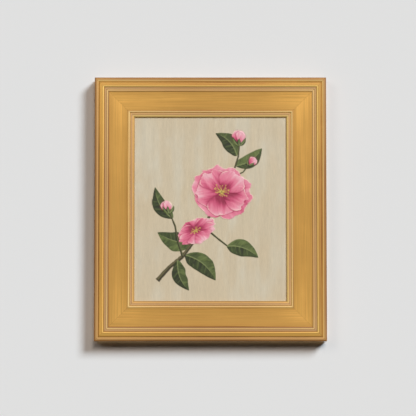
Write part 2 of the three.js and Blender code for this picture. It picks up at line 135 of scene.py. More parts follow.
@dataclass
class Shell:
    """A surface under construction.

    Attributes:
        points: Places of the vertices, one row each.
        faces: Blocks of faces. A block's rows are the vertex numbers of faces with as many corners.
        uvs: For each block, the texture place of every corner.
        values: Numbers or colours that the vertices carry, by name.
        creases: Rings of vertices whose edges are sharp.
    """

    points: Array
    faces: list[Array]
    uvs: list[Array]
    values: dict[str, Array] = field(default_factory=dict)
    creases: list[Array] = field(default_factory=list)

    @classmethod
    def from_grid(
        cls,
        points: Array,
        uv: Array | None = None,
        closed: tuple[bool, bool] = (False, False),
        values: dict[str, Array] | None = None,
    ) -> Shell:
        """Makes a surface of quads from points that are a function of two steps (i, j).

        Args:
            points: Places, rows by columns by 3.
            uv: Texture places, rows by columns by 2. A closed way has one more row or column than `points`.
            closed: Whether the rows, and whether the columns, join their last to their first.
            values: Rows by columns of numbers that the vertices carry.

        Returns:
            The surface, with (i, j), (i + 1, j), (i + 1, j + 1), (i, j + 1) as each face's corners.
        """
        rows, columns = points.shape[:2]
        i, j = np.meshgrid(
            np.arange(rows - (not closed[0])), np.arange(columns - (not closed[1])), indexing="ij"
        )
        down = np.stack([i, i + 1, i + 1, i], axis=-1).reshape(-1, 4)
        across = np.stack([j, j, j + 1, j + 1], axis=-1).reshape(-1, 4)
        faces = (down % rows) * columns + across % columns
        if uv is None:
            uv = np.stack(np.meshgrid(np.arange(rows + 1), np.arange(columns + 1), indexing="ij"), axis=-1)
        flat = {name: array.reshape(rows * columns, -1) for name, array in (values or {}).items()}
        return cls(points.reshape(-1, 3), [faces], [uv[down, across].astype(float)], flat)

    def with_face(self, ring: Array, uv: Array | None = None) -> Shell:
        """Adds one flat face that closes a ring of vertices, with a sharp edge round it.

        Args:
            ring: The vertex numbers round it.
            uv: Texture places of its corners.

        Returns:
            This surface.
        """
        self.faces.append(np.asarray(ring)[None])
        self.uvs.append((np.zeros((len(ring), 2)) if uv is None else uv)[None])
        self.creases.append(np.asarray(ring))
        return self

    def with_ends(self, rows: int) -> Shell:
        """Closes the first and the last row of a grid of so many rows with a flat face each."""
        count = len(self.points) // rows
        return self.with_face(np.arange(count)[::-1]).with_face(np.arange(count) + (rows - 1) * count)

    def facing_out(self) -> Shell:
        """Turns every face round if the closed surface holds a negative volume.

        The volume is a sixth of the sum of a . (b x c) over the triangles of each face.

        Returns:
            This surface.
        """
        volume = 0.0
        for block in self.faces:
            corners = self.points[block] - self.points[0]
            first, middle, last = corners[:, :1], corners[:, 1:-1], corners[:, 2:]
            volume += float((first * np.cross(middle, last)).sum())
        if volume < 0:
            self.faces = [block[:, ::-1] for block in self.faces]
            self.uvs = [block[:, ::-1] for block in self.uvs]
        return self

    def moved(self, x: float = 0.0, y: float = 0.0, z: float = 0.0) -> Shell:
        """Shifts the surface, and returns it."""
        self.points = self.points + np.array([x, y, z])
        return self

    def over(self, seat: Seat) -> Shell:
        """Shifts the surface aside and up to the middle of a seat, and returns it."""
        return self.moved(seat.middle[0], 0.0, seat.middle[2])

    def turned_about_y(self, angle: float) -> Shell:
        """Turns the surface about the y axis.

        Args:
            angle: The turn from +X towards -Z, in radians.

        Returns:
            This surface.
        """
        (x, y, z), c, s = self.points.T, math.cos(angle), math.sin(angle)
        self.points = np.stack([c * x + s * z, y, c * z - s * x], axis=1)
        return self

    def sharpen(self, mesh: bpy.types.Mesh) -> None:
        """Marks the edges of the creases as sharp, each edge known by its lower and higher vertex.

        Args:
            mesh: The mesh that this surface became.
        """
        count = len(self.points)
        pairs = [np.sort(np.stack([ring, np.roll(ring, -1)]), axis=0) for ring in self.creases]
        wanted = np.concatenate([low * count + high for low, high in pairs])
        ends = np.empty(len(mesh.edges) * 2, np.int32)
        mesh.edges.foreach_get("vertices", ends)
        low, high = np.sort(ends.reshape(-1, 2).astype(np.int64), axis=1).T
        mesh.edges.foreach_set("use_edge_sharp", np.isin(low * count + high, wanted))

    def build(self, name: str, smooth: bool = True) -> bpy.types.Object:
        """Makes the Blender object.

        Args:
            name: Its name.
            smooth: Whether its faces are shaded as one curved surface.

        Returns:
            The object, at the origin, linked to the scene.
        """
        mesh = bpy.data.meshes.new(name)
        loops = np.concatenate([block.ravel() for block in self.faces])
        sizes = np.concatenate([np.full(len(block), block.shape[1]) for block in self.faces])
        mesh.vertices.add(len(self.points))
        mesh.vertices.foreach_set("co", self.points.astype(np.float32).ravel())
        mesh.loops.add(len(loops))
        mesh.loops.foreach_set("vertex_index", loops.astype(np.int32))
        mesh.polygons.add(len(sizes))
        starts = np.concatenate([[0], np.cumsum(sizes)[:-1]])
        mesh.polygons.foreach_set("loop_start", starts.astype(np.int32))
        mesh.update(calc_edges=True)
        mesh.polygons.foreach_set("use_smooth", np.full(len(sizes), smooth))
        if self.creases:
            self.sharpen(mesh)
        layer = mesh.uv_layers.new(name="UVMap")
        uv = np.concatenate([block.reshape(-1, 2) for block in self.uvs])
        layer.data.foreach_set("uv", uv.astype(np.float32).ravel())
        for label, array in self.values.items():
            kind, member = ("FLOAT_COLOR", "color") if array.shape[1] > 1 else ("FLOAT", "value")
            attribute = mesh.attributes.new(label, kind, "POINT")
            attribute.data.foreach_set(member, array.astype(np.float32).ravel())
        mesh.validate()
        return linked(name, mesh)


def linked(name: str, data: bpy.types.ID) -> bpy.types.Object:
    """Makes an object at the origin, and links it to the scene.

    Args:
        name: Its name.
        data: Its mesh, light or camera.

    Returns:
        The object.
    """
    made = bpy.data.objects.new(name, data)
    bpy.context.scene.collection.objects.link(made)
    return made


def settle(
    piece: bpy.types.Object, finish: bpy.types.Material, slot: str, *nodes: str, body: str = ROOT
) -> bpy.types.Object:
    """Dresses a piece, and lets it ride on a body, take a finish and stand for CAD nodes.

    Args:
        piece: The piece, in its place.
        finish: Its material.
        slot: The record's material slot; not used.
        *nodes: The CAD nodes that it stands for.
        body: The body that it rides on.

    Returns:
        The piece.
    """
    piece.data.materials.append(finish)
    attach(piece, body)
    if nodes:
        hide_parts(*nodes)
    LOG.info("%s: %d faces, for %s", piece.name, len(piece.data.polygons), ", ".join(nodes) or "no node")
    return piece


@dataclass(frozen=True)
class Seat:
    """The box of a CAD node, in millimetres, which tells where its piece goes.

    Attributes:
        low: Its least x, y and z.
        high: Its greatest.
    """

    low: Array
    high: Array

    @classmethod
    def of(cls, node: str) -> Seat:
        """Reads a node's box."""
        return cls(*(np.array(corner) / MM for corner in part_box(node)))

    @property
    def middle(self) -> Array:
        """The box's middle, in metres."""
        return (self.low + self.high) / 2 * MM


def turned_shell(radius: Array, depth: Array, sides: int, hubs: Pair | None = None) -> Shell:
    """Turns a profile about the y axis.

    A point at radius r and depth y goes to (r cos a, y, r sin a) for the angles a = 2 pi i / sides. Fans of
    triangles close both ends on the axis.

    Args:
        radius: The profile's radii from end to end, in millimetres.
        depth: Its y at each radius, the same all round or with a row for each angle.
        sides: How many steps go round.
        hubs: The y of both ends on the axis, where they aren't those of the profile's ends.

    Returns:
        The closed surface, in metres.
    """
    angle = 2 * np.pi * np.arange(sides)[:, None] / sides
    depth = np.broadcast_to(depth, (sides, len(radius)))
    points = np.stack([np.cos(angle) * radius, depth, np.sin(angle) * radius], axis=-1)
    shell = Shell.from_grid(points, closed=(True, False))
    for column, y in zip((0, len(radius) - 1), hubs or depth[0, [0, -1]]):
        ring = np.arange(sides) * len(radius) + column
        fan = np.stack([ring, np.roll(ring, -1), np.full(sides, len(shell.points))], axis=1)
        shell.points = np.concatenate([shell.points, [[0.0, y, 0.0]]])
        shell.faces.append(fan if column else fan[:, ::-1])
        shell.uvs.append(np.zeros((sides, 3, 2)))
    shell.points = shell.points * MM
    return shell.facing_out()


def swept_strip(path: Array, thickness: float, width: float, rounding: float) -> Shell:
    """Carries a flat wire's section along a path in the x, y plane, with its width along z.

    The section is a rectangle across the path. Each of its corners is a quadratic curve,
    (1-t)^2 a + 2t(1-t) corner + t^2 b, between the points a and b that lie a little way back along both
    edges. A place (a, b) of the section goes to path + a normal + b z, and both ends are closed.

    Args:
        path: Rows of (x, y), in millimetres.
        thickness: The wire's thickness.
        width: Its width.
        rounding: How far back the curves at its corners start.

    Returns:
        The closed surface, in metres.
    """
    heading = np.gradient(path, axis=0)
    heading /= np.linalg.norm(heading, axis=1, keepdims=True)
    normal = np.stack([-heading[:, 1], heading[:, 0]], axis=1)
    corners = np.array([[-1, -1], [1, -1], [1, 1], [-1, 1]]) * np.array([thickness, width]) / 2
    before, after = np.roll(corners, 1, axis=0) - corners, np.roll(corners, -1, axis=0) - corners
    start = corners + before / np.linalg.norm(before, axis=1, keepdims=True) * rounding
    end = corners + after / np.linalg.norm(after, axis=1, keepdims=True) * rounding
    t = np.linspace(0, 1, 3)[None, :, None]
    curve = (1 - t) ** 2 * start[:, None] + 2 * t * (1 - t) * corners[:, None] + t**2 * end[:, None]
    section = curve.reshape(-1, 2)
    flat = path[:, None] + normal[:, None] * section[None, :, :1]
    points = np.concatenate([flat, np.broadcast_to(section[None, :, 1:], (*flat.shape[:2], 1))], axis=-1)
    return Shell.from_grid(points * MM, closed=(False, True)).with_ends(len(path)).facing_out()


# ---- Shader graphs --------------------------------------------------------------------------------------


class Signal:
    """A number, colour or place on its way through a node tree. Sums and products of signals add nodes."""

    def __init__(self, graph: Graph, socket: Socket) -> None:
        """Keeps the graph, and the output socket that the signal comes from."""
        self.graph, self.socket = graph, socket

    def __add__(self, other: Signal | float) -> Signal:
        """Adds."""
        return self.graph.math("ADD", self, other)

    def __sub__(self, other: Signal | float) -> Signal:
        """Takes away."""
        return self.graph.math("SUBTRACT", self, other)

    def __rsub__(self, other: float) -> Signal:
        """Takes this signal away from a number."""
        return self.graph.math("SUBTRACT", other, self)

    def __mul__(self, other: Signal | float) -> Signal:
        """Multiplies."""
        return self.graph.math("MULTIPLY", self, other)

    def __truediv__(self, other: Signal | float) -> Signal:
        """Divides."""
        return self.graph.math("DIVIDE", self, other)

    def stretched(self, *scale: float) -> Signal:
        """Multiplies a place by one factor for each axis."""
        return self.graph.signal("ShaderNodeVectorMath", {0: self, 1: scale}, operation="MULTIPLY")

    def parts(self) -> tuple[Signal, ...]:
        """Splits a place into its x, y and z."""
        split = self.graph.node("ShaderNodeSeparateXYZ", {0: self})
        return tuple(Signal(self.graph, part) for part in split.outputs)

    def between(self, low: float, high: float, start: float = 0.0, end: float = 1.0) -> Signal:
        """Maps `low` to `start` and `high` to `end`, smoothly, and holds both beyond them."""
        wanted = {"Value": self, "From Min": low, "From Max": high, "To Min": start, "To Max": end}
        return self.graph.signal("ShaderNodeMapRange", wanted, interpolation_type="SMOOTHSTEP")


class Graph:
    """One node tree, with short ways to add the nodes that the finishes use."""

    def __init__(self, tree: bpy.types.NodeTree) -> None:
        """Keeps the tree that the nodes go into."""
        self.tree = tree

    def feed(self, socket: Socket, value: Signal | float | tuple) -> None:
        """Links a signal to an input socket, or sets the socket's own value.

        Args:
            socket: The input.
            value: What goes in.
        """
        if isinstance(value, Signal):
            self.tree.links.new(value.socket, socket)
        else:
            socket.default_value = value

    def node(self, kind: str, inputs: dict | None = None, **settings: object) -> bpy.types.Node:
        """Adds a node.

        Args:
            kind: Its type.
            inputs: What goes into its sockets, by name or number.
            **settings: Its properties.

        Returns:
            The node.
        """
        made = self.tree.nodes.new(kind)
        for name, value in settings.items():
            setattr(made, name, value)
        for key, value in (inputs or {}).items():
            self.feed(made.inputs[key], value)
        return made

    def signal(self, kind: str, inputs: dict | None = None, output: str | int = 0, **settings: str) -> Signal:
        """Adds a node as `node` does, and returns what comes out of one of its outputs."""
        return Signal(self, self.node(kind, inputs, **settings).outputs[output])

    def math(self, operation: str, *terms: Signal | float, clamp: bool = False) -> Signal:
        """Works out a sum, product or other function of numbers."""
        return self.signal("ShaderNodeMath", dict(enumerate(terms)), operation=operation, use_clamp=clamp)

    def noise(self, place: Signal, scale: float | Signal, detail: float = 2.0, twist: float = 0.0) -> Signal:
        """Gives smooth noise from about 0 to 1.

        Args:
            place: Where it is read.
            scale: Its lumps to the metre.
            detail: How many finer layers are added.
            twist: How far it is bent by itself.

        Returns:
            The noise.
        """
        wanted = {"Vector": place, "Scale": scale, "Detail": detail, "Distortion": twist}
        return self.signal("ShaderNodeTexNoise", wanted, "Fac")

    def layers(self, under: Signal | tuple, *over: tuple, blend: str = "MIX") -> Signal:
        """Lays colours over one another.

        Args:
            under: The lowest colour.
            *over: A factor and a colour for each layer above it.
            blend: How a layer acts on what lies below.

        Returns:
            The colour that shows.
        """
        for factor, colour in over:
            wanted = {0: factor, 6: under, 7: colour}
            under = self.signal("ShaderNodeMix", wanted, 2, data_type="RGBA", blend_type=blend)
        return under

    def attribute(self, name: str, output: str = "Fac") -> Signal:
        """Reads what the mesh's vertices carry under a name."""
        return self.signal("ShaderNodeAttribute", None, output, attribute_name=name)

    def coordinate(self, name: str) -> Signal:
        """Reads the piece's own UV map, Object coordinates or Normal."""
        return self.signal("ShaderNodeTexCoord", None, name)

    def use(self, group: bpy.types.NodeTree, **inputs: Signal | float | tuple) -> dict[str, Signal]:
        """Places a shared group.

        Args:
            group: The group.
            **inputs: What goes into its inputs.

        Returns:
            What comes out, by name.
        """
        made = self.node("ShaderNodeGroup", node_tree=group)
        for name, value in inputs.items():
            self.feed(made.inputs[name], value)
        return {socket.name: Signal(self, socket) for socket in made.outputs}

    def bump(self, height: Signal, distance: float, strength: float) -> Signal:
        """Turns a height from 0 to 1 into a normal, with `distance` as the height of 1 in metres."""
        return self.signal("ShaderNodeBump", {"Height": height, "Distance": distance, "Strength": strength})


class Kind(Enum):
    """What a group's socket carries."""

    NUMBER = "NodeSocketFloat"
    COLOUR = "NodeSocketColor"
    PLACE = "NodeSocketVector"


class SharedGroup(Graph):
    """A shader group under construction, with named inputs and outputs."""

    def __init__(self, name: str, inputs: dict[str, Kind], outputs: dict[str, Kind]) -> None:
        """Makes the group and its sockets.

        Args:
            name: Its name.
            inputs: Each input's kind, by name.
            outputs: Each output's kind, by name.
        """
        super().__init__(bpy.data.node_groups.new(name, "ShaderNodeTree"))
        for way, sockets in (("INPUT", inputs), ("OUTPUT", outputs)):
            for label, kind in sockets.items():
                self.tree.interface.new_socket(label, in_out=way, socket_type=kind.value)
        given = self.node("NodeGroupInput").outputs
        self.given = {label: Signal(self, given[label]) for label in inputs}
        self.result = self.node("NodeGroupOutput")

    def close(self, **signals: Signal) -> bpy.types.NodeTree:
        """Links the group's outputs.

        Args:
            **signals: What goes out, by name.

        Returns:
            The group's tree.
        """
        for label, signal in signals.items():
            self.feed(self.result.inputs[label], signal)
        return self.tree


@cache
def streak_group() -> bpy.types.NodeTree:
    """Makes fine lines drawn out along X, as a brush, a burnisher or a grinding belt leaves them.

    Noise is read at (x / Length, y / Width), once coarse and once three times finer, and averaged.

    Returns:
        The group.
    """
    group = SharedGroup(
        "Streaks",
        {"Vector": Kind.PLACE, "Length": Kind.NUMBER, "Width": Kind.NUMBER},
        {"Streak": Kind.NUMBER, "Fine": Kind.NUMBER},
    )
    x, y, z = group.given["Vector"].parts()
    drawn_out = {0: x / group.given["Length"], 1: y / group.given["Width"], 2: z}
    place = group.signal("ShaderNodeCombineXYZ", drawn_out)
    coarse = group.noise(place, 0.35, 2.0, 0.2)
    fine = group.noise(place, 1.1, 3.0, 0.1)
    both = (coarse + fine) * 0.5
    return group.close(Streak=both.between(0.3, 0.7), Fine=fine.between(0.25, 0.75))


@cache
def grain_group() -> bpy.types.NodeTree:
    """Makes softwood or hardwood grain that runs along X.

    Year lines are bands of (distance from the pith + noise), and pores are noise drawn out along X.

    Returns:
        The group.
    """
    group = SharedGroup(
        "Wood grain",
        {
            "Vector": Kind.PLACE,
            "Light": Kind.COLOUR,
            "Dark": Kind.COLOUR,
            "Year": Kind.NUMBER,
            "Figure": Kind.NUMBER,
        },
        {"Color": Kind.COLOUR, "Height": Kind.NUMBER},
    )
    place = group.given["Vector"]
    sheared = place.stretched(0.09, 1.0, 0.75)
    sway, weather = group.noise(sheared, 26.0, 2.0), group.noise(sheared, 120.0, 1.0)
    _, y, z = sheared.parts()
    off_pith = y + 0.021
    radius = group.math("SQRT", off_pith * off_pith + z * z)
    phase = group.math("FRACT", (radius + sway * 0.03 + weather * 0.011) / group.given["Year"])
    late = phase.between(0.35, 0.93) * phase.between(1.0, 0.95)
    pore = group.noise(place.stretched(0.035, 1.0, 1.0), 2600.0, 2.0).between(0.52, 0.72)
    tone = group.noise(place.stretched(0.3, 1.0, 1.0), 60.0, 2.0)
    lines = late * (group.given["Figure"] * tone.between(0.2, 0.75))
    depth = group.math("ADD", lines * 0.62 + pore * 0.22, tone * 0.3, clamp=True)
    colour = group.layers(group.given["Light"], (depth, group.given["Dark"]))
    return group.close(Color=colour, Height=lines * 0.5 - pore * 0.6)


@cache
def weave_group() -> bpy.types.NodeTree:
    """Makes a plain weave of two sets of threads, along X and along Y, a Pitch apart.

    Each thread is |sin(pi p)| across itself. At a crossing the upper thread is the one whose sign
    sin(pi x) sin(pi y) names, and noise thickens single threads here and there.

    Returns:
        The group.
    """
    group = SharedGroup(
        "Plain weave",
        {"Vector": Kind.PLACE, "Pitch": Kind.NUMBER, "Slub": Kind.NUMBER},
        {"Thread": Kind.NUMBER, "Height": Kind.NUMBER, "Slub": Kind.NUMBER},
    )
    place = group.given["Vector"]
    wander = group.noise(place, 90.0, 1.0) * 1.6
    turns = [part / group.given["Pitch"] + wander for part in place.parts()[:2]]
    waves = [group.math("SINE", turn * math.pi) for turn in turns]
    slubs = [group.noise(place.stretched(*way), 900.0, 1.0) for way in ((1.0, 0.02, 1.0), (0.02, 1.0, 1.0))]
    over = (waves[0] * waves[1] * 3.0).between(-1.0, 1.0)
    warp, weft = (group.math("ABSOLUTE", wave) for wave in waves)
    thread = warp * over + weft * (1.0 - over)
    slub = (slubs[0] + slubs[1]).between(0.8, 1.35) * group.given["Slub"]
    return group.close(Thread=thread, Height=thread + slub * 0.7, Slub=slub)


@cache
def mottle_group() -> bpy.types.NodeTree:
    """Makes cloudy patches and small specks, as tarnish, crystals of zinc and dust do.

    Returns:
        The group.
    """
    group = SharedGroup(
        "Mottle",
        {"Vector": Kind.PLACE, "Patches": Kind.NUMBER, "Specks": Kind.NUMBER},
        {"Patch": Kind.NUMBER, "Speck": Kind.NUMBER},
    )
    cloud = group.noise(group.given["Vector"], group.given["Patches"], 3.0, 0.4)
    dots = group.noise(group.given["Vector"], group.given["Specks"], 1.0)
    return group.close(Patch=cloud.between(0.35, 0.68), Speck=dots.between(0.66, 0.76))


@cache
def dust_group() -> bpy.types.NodeTree:
    """Makes the dust that settles on faces that look up.

    It is the upward part of the face's direction, past Start, broken up by noise.

    Returns:
        The group.
    """
    group = SharedGroup(
        "Settled dust",
        {"Vector": Kind.PLACE, "Facing": Kind.PLACE, "Start": Kind.NUMBER, "Amount": Kind.NUMBER},
        {"Dust": Kind.NUMBER},
    )
    up = group.given["Facing"].parts()[2]
    faced = (up - group.given["Start"]).between(0.0, 0.5)
    lint = group.noise(group.given["Vector"], 420.0, 4.0).between(0.3, 0.72)
    return group.close(Dust=faced * lint * group.given["Amount"])


# ---- Finishes -------------------------------------------------------------------------------------------


class Coating(Graph):
    """The node tree of one material, round its Principled shader."""

    def __init__(self, name: str) -> None:
        """Starts the material.

        Args:
            name: Its name.
        """
        self.material = bpy.data.materials.new(name)
        self.material.use_nodes = True
        super().__init__(self.material.node_tree)
        self.shader = self.tree.nodes["Principled BSDF"]

    def shade(self, **inputs: Signal | float | tuple) -> bpy.types.Material:
        """Feeds the shader's sockets.

        Args:
            **inputs: What goes into each socket. An underscore in a name stands for a space.

        Returns:
            The material.
        """
        for name, value in inputs.items():
            self.feed(self.shader.inputs[name.replace("_", " ")], value)
        return self.material

    def show(self, factor: Signal, first: bpy.types.Node, second: bpy.types.Node) -> bpy.types.Material:
        """Shows one shader where a factor is 0 and another where it is 1.

        Args:
            factor: The factor.
            first: The shader where it is 0.
            second: The shader where it is 1.

        Returns:
            The material.
        """
        mixed = self.node("ShaderNodeMixShader", {0: factor})
        for socket, source in ((mixed.inputs[1], first), (mixed.inputs[2], second)):
            self.tree.links.new(source.outputs[0], socket)
        self.tree.links.new(mixed.outputs[0], self.tree.nodes["Material Output"].inputs["Surface"])
        return self.material


@dataclass(frozen=True)
class GiltFinish:
    """Gold leaf laid over red-brown bole on a moulding, with bare wood behind.

    The mesh carries three numbers: `leaf` is 1 where it is gilded, `wash` is how much of the rosy bole shows
    through, and `tone` is lighter above 0 and darker below. Besides the leaf's own lighter and darker
    stretches,
    the tone carries painted light: painted highlights on the crests and pale lines, and painted shade on the
    rim, in the grooves and towards the panel's edges.
    """

    # Dark-toned outer side, which also serves as the painted shade on the rim and in the deepest grooves
    rubbed_side: tuple = linear(72, 50, 30)
    deep_gold: tuple = linear(152, 100, 42)
    gold: tuple = linear(187, 143, 68)
    pale_gold: tuple = linear(241, 187, 95)
    # Painted highlight gold, reached only where the tone is raised for painted light
    bright_gold: tuple = linear(252, 218, 128)
    amber: tuple = linear(212, 138, 62)
    rosy_dark: tuple = linear(146, 104, 70)
    rosy: tuple = linear(194, 156, 120)
    # Painted pale highlight of the pale lines and the inner bead's crest
    cream: tuple = linear(250, 220, 164)
    bole: tuple = linear(120, 66, 36)
    wood_light: tuple = linear(205, 172, 124)
    wood_dark: tuple = linear(158, 118, 74)
    dust: tuple = linear(196, 188, 172)

    @cache
    def material(self) -> bpy.types.Material:
        """Builds the material.

        Returns:
            The material. Its patterns follow the UV map, which runs along each rail.
        """
        coat = Coating("gold_leaf")
        uv = coat.coordinate("UV")
        leaf, wash, tone = (coat.attribute(name) for name in ("leaf", "wash", "tone"))
        broad = coat.use(streak_group(), Vector=uv, Length=0.11, Width=0.0042)["Streak"]
        brushed = coat.use(streak_group(), Vector=uv, Length=0.11, Width=0.0011)
        streak, fine = brushed["Streak"], brushed["Fine"]
        clouds = coat.use(mottle_group(), Vector=uv, Patches=17.0, Specks=650.0)
        # High tones here are painted highlights, and low ones are partly painted shade
        lift = broad * 0.12 + fine * 0.34 + clouds["Patch"] * 0.08 + (tone * 0.6 + 0.4)
        gold = coat.layers(
            self.rubbed_side,
            (lift.between(-0.55, 0.0), self.deep_gold),
            (lift.between(0.0, 0.5), self.gold),
            (lift.between(0.5, 1.25), self.pale_gold),
            (lift.between(1.15, 1.75), self.bright_gold),
            (streak * 0.18, self.amber),
        )
        rubbed = wash * (streak * 0.35 + 0.72)
        # On washed stretches a high tone shows the painted pale highlight
        rosy = coat.layers(
            self.rosy_dark, (tone.between(-1.2, 0.3), self.rosy), (tone.between(0.5, 2.2), self.cream)
        )
        worn = clouds["Speck"] * (wash * 0.25 + 0.06)
        gilded = coat.layers(gold, (rubbed, rosy), (worn, self.bole))
        wood = coat.use(
            grain_group(), Vector=uv, Light=self.wood_light, Dark=self.wood_dark, Year=0.0045, Figure=0.55
        )
        place, facing = coat.coordinate("Object"), coat.coordinate("Normal")
        dust = coat.use(dust_group(), Vector=place, Facing=facing, Start=0.45, Amount=0.06)["Dust"]
        waxed = tone.between(-0.7, -1.5, 0.0, 0.35)
        return coat.shade(
            Base_Color=coat.layers(wood["Color"], (leaf, gilded), (dust, self.dust)),
            Metallic=(rubbed * -0.2 + 0.3) * tone.between(-1.5, -0.7) * leaf * (1.0 - dust),
            Roughness=streak * 0.1 + 0.42 + rubbed * 0.16 + waxed + (1.0 - leaf) * 0.3,
            Specular_IOR_Level=0.35,
            Normal=coat.bump(coat.layers(wood["Height"], (leaf, fine)), 0.06 * MM, 0.6),
        )


class GrainAxis(Enum):
    """The way that a wooden piece's grain runs, as the turn that brings it onto X."""

    ACROSS = (0.0, 0.0, 0.0)
    UPRIGHT = (0.0, math.pi / 2, 0.0)


@dataclass(frozen=True)
class BareWoodFinish:
    """Planed or sawn wood without a coating."""

    name: str
    light: tuple
    dark: tuple
    year: float
    figure: float
    rough: float = 0.72
    saw_mark: tuple = (0.35, 0.22, 0.12, 1.0)
    dust: tuple = linear(200, 192, 178)

    @cache
    def material(self, axis: GrainAxis, dusty: bool = False) -> bpy.types.Material:
        """Builds the material.

        Args:
            axis: The way that the grain runs.
            dusty: Whether dust lies on its upper faces.

        Returns:
            The material.
        """
        coat = Coating(f"{self.name}_{axis.name.lower()}")
        place = coat.coordinate("Object")
        turned = coat.signal("ShaderNodeMapping", {"Vector": place, "Rotation": axis.value})
        grain = coat.use(
            grain_group(), Vector=turned, Light=self.light, Dark=self.dark, Year=self.year, Figure=self.figure
        )
        saw = coat.use(streak_group(), Vector=turned, Length=0.02, Width=0.0009)
        colour = coat.layers(grain["Color"], (saw["Streak"] * 0.16, self.saw_mark), blend="MULTIPLY")
        if dusty:
            facing = coat.coordinate("Normal")
            dust = coat.use(dust_group(), Vector=place, Facing=facing, Start=0.4, Amount=0.5)["Dust"]
            colour = coat.layers(colour, (dust, self.dust))
        return coat.shade(
            Base_Color=colour,
            Roughness=saw["Fine"] * 0.12 + (self.rough - 0.06),
            Normal=coat.bump(grain["Height"] + saw["Fine"] * 0.5, 0.12 * MM, 0.7),
        )


@dataclass(frozen=True)
class MetalFinish:
    """A plated steel surface with clouded plating, fine scratches and specks of tarnish."""

    name: str
    clean: tuple
    clouded: tuple
    tarnish: tuple
    rough: float
    patches: float
    tarnished: float = 0.35

    @cache
    def material(self) -> bpy.types.Material:
        """Builds the material once, in Object coordinates.

        Returns:
            The material.
        """
        coat = Coating(self.name)
        place = coat.coordinate("Object")
        clouds = coat.use(mottle_group(), Vector=place, Patches=self.patches, Specks=1500.0)
        flat = coat.signal("ShaderNodeMapping", {"Vector": place, "Rotation": (math.pi / 2, 0.3, 0)})
        rubs = coat.use(streak_group(), Vector=flat, Length=0.006, Width=0.00025)["Fine"]
        patch, speck = clouds["Patch"], clouds["Speck"]
        return coat.shade(
            Base_Color=coat.layers(self.clean, (patch, self.clouded), (speck * self.tarnished, self.tarnish)),
            Metallic=speck * (-0.6 * self.tarnished) + 1.0,
            Roughness=patch * 0.12 + self.rough + rubs * 0.08 + speck * 0.2,
            Normal=coat.bump(rubs, 0.01 * MM, 0.5),
        )


ZINC = MetalFinish(
    "zinc_steel", linear(198, 200, 200), linear(160, 164, 168), linear(122, 112, 96), 0.36, 210.0
)
WIRE = MetalFinish(
    "staple_wire", linear(188, 186, 182), linear(150, 148, 146), linear(112, 92, 74), 0.34, 420.0, 0.5
)
SCREW = MetalFinish(
    "screw_steel", linear(196, 190, 176), linear(164, 156, 140), linear(116, 96, 70), 0.32, 500.0
)
BRASS = MetalFinish(
    "hanger_brass", linear(214, 184, 118), linear(186, 152, 88), linear(110, 84, 50), 0.3, 260.0
)
PINE = BareWoodFinish("stretcher_pine", linear(222, 190, 142), linear(176, 128, 78), 0.0042, 0.8)
BEECH = BareWoodFinish("key_beech", linear(206, 170, 128), linear(160, 116, 78), 0.0026, 0.5, 0.64)


@dataclass(frozen=True)
class FeltFinish:
    """Pressed felt of the wall pads: matted fibres with paler ends."""

    dark: tuple = linear(66, 58, 50)
    pale: tuple = linear(120, 108, 94)

    @cache
    def material(self) -> bpy.types.Material:
        """Builds the material once, in Object coordinates.

        Returns:
            The material.
        """
        coat = Coating("felt")
        place = coat.coordinate("Object")
        matted = coat.noise(place, 1400.0, 4.0, 1.2)
        speck = coat.use(mottle_group(), Vector=place, Patches=300.0, Specks=1100.0)["Speck"]
        return coat.shade(
            Base_Color=coat.layers(
                self.dark, (matted.between(0.35, 0.7), self.pale), (speck * 0.5, self.pale)
            ),
            Roughness=matted * 0.1 + 0.88,
            Normal=coat.bump(matted, 0.3 * MM, 0.8),
        )


THREAD_PITCH = 0.8 * MM


@dataclass(frozen=True)
class RawLinenFinish:
    """Unprimed linen as seen from behind, where its weave and a little size that soaked through show, with
    painted shade on the threads' sides and in the gaps between them.
    """

    warm: tuple = linear(196, 175, 140)
    # Dark gaps, which also give the painted shade along the rounded threads' sides
    gap: tuple = linear(128, 106, 76)
    slub: tuple = linear(214, 197, 165)

    @cache
    def material(self) -> bpy.types.Material:
        """Builds the material, whose weave follows the UV map of the cloth laid flat.

        Returns:
            The material.
        """
        coat = Coating("raw_linen")
        uv = coat.coordinate("UV")
        weave = coat.use(weave_group(), Vector=uv, Pitch=THREAD_PITCH, Slub=0.6)
        clouds = coat.use(mottle_group(), Vector=uv, Patches=30.0, Specks=420.0)
        # Thread centres warm, sides and gaps dark: partly the gaps, partly painted shade on round threads
        colour = coat.layers(
            self.gap,
            (weave["Thread"].between(0.05, 0.7), self.warm),
            (weave["Slub"] * 0.8, self.slub),
            (clouds["Patch"] * 0.14, self.gap),
            (clouds["Speck"] * 0.35, self.gap),
        )
        normal = coat.bump(weave["Height"], 0.22 * MM, 0.9)
        return coat.shade(Base_Color=colour, Roughness=weave["Thread"] * -0.08 + 0.93, Normal=normal)


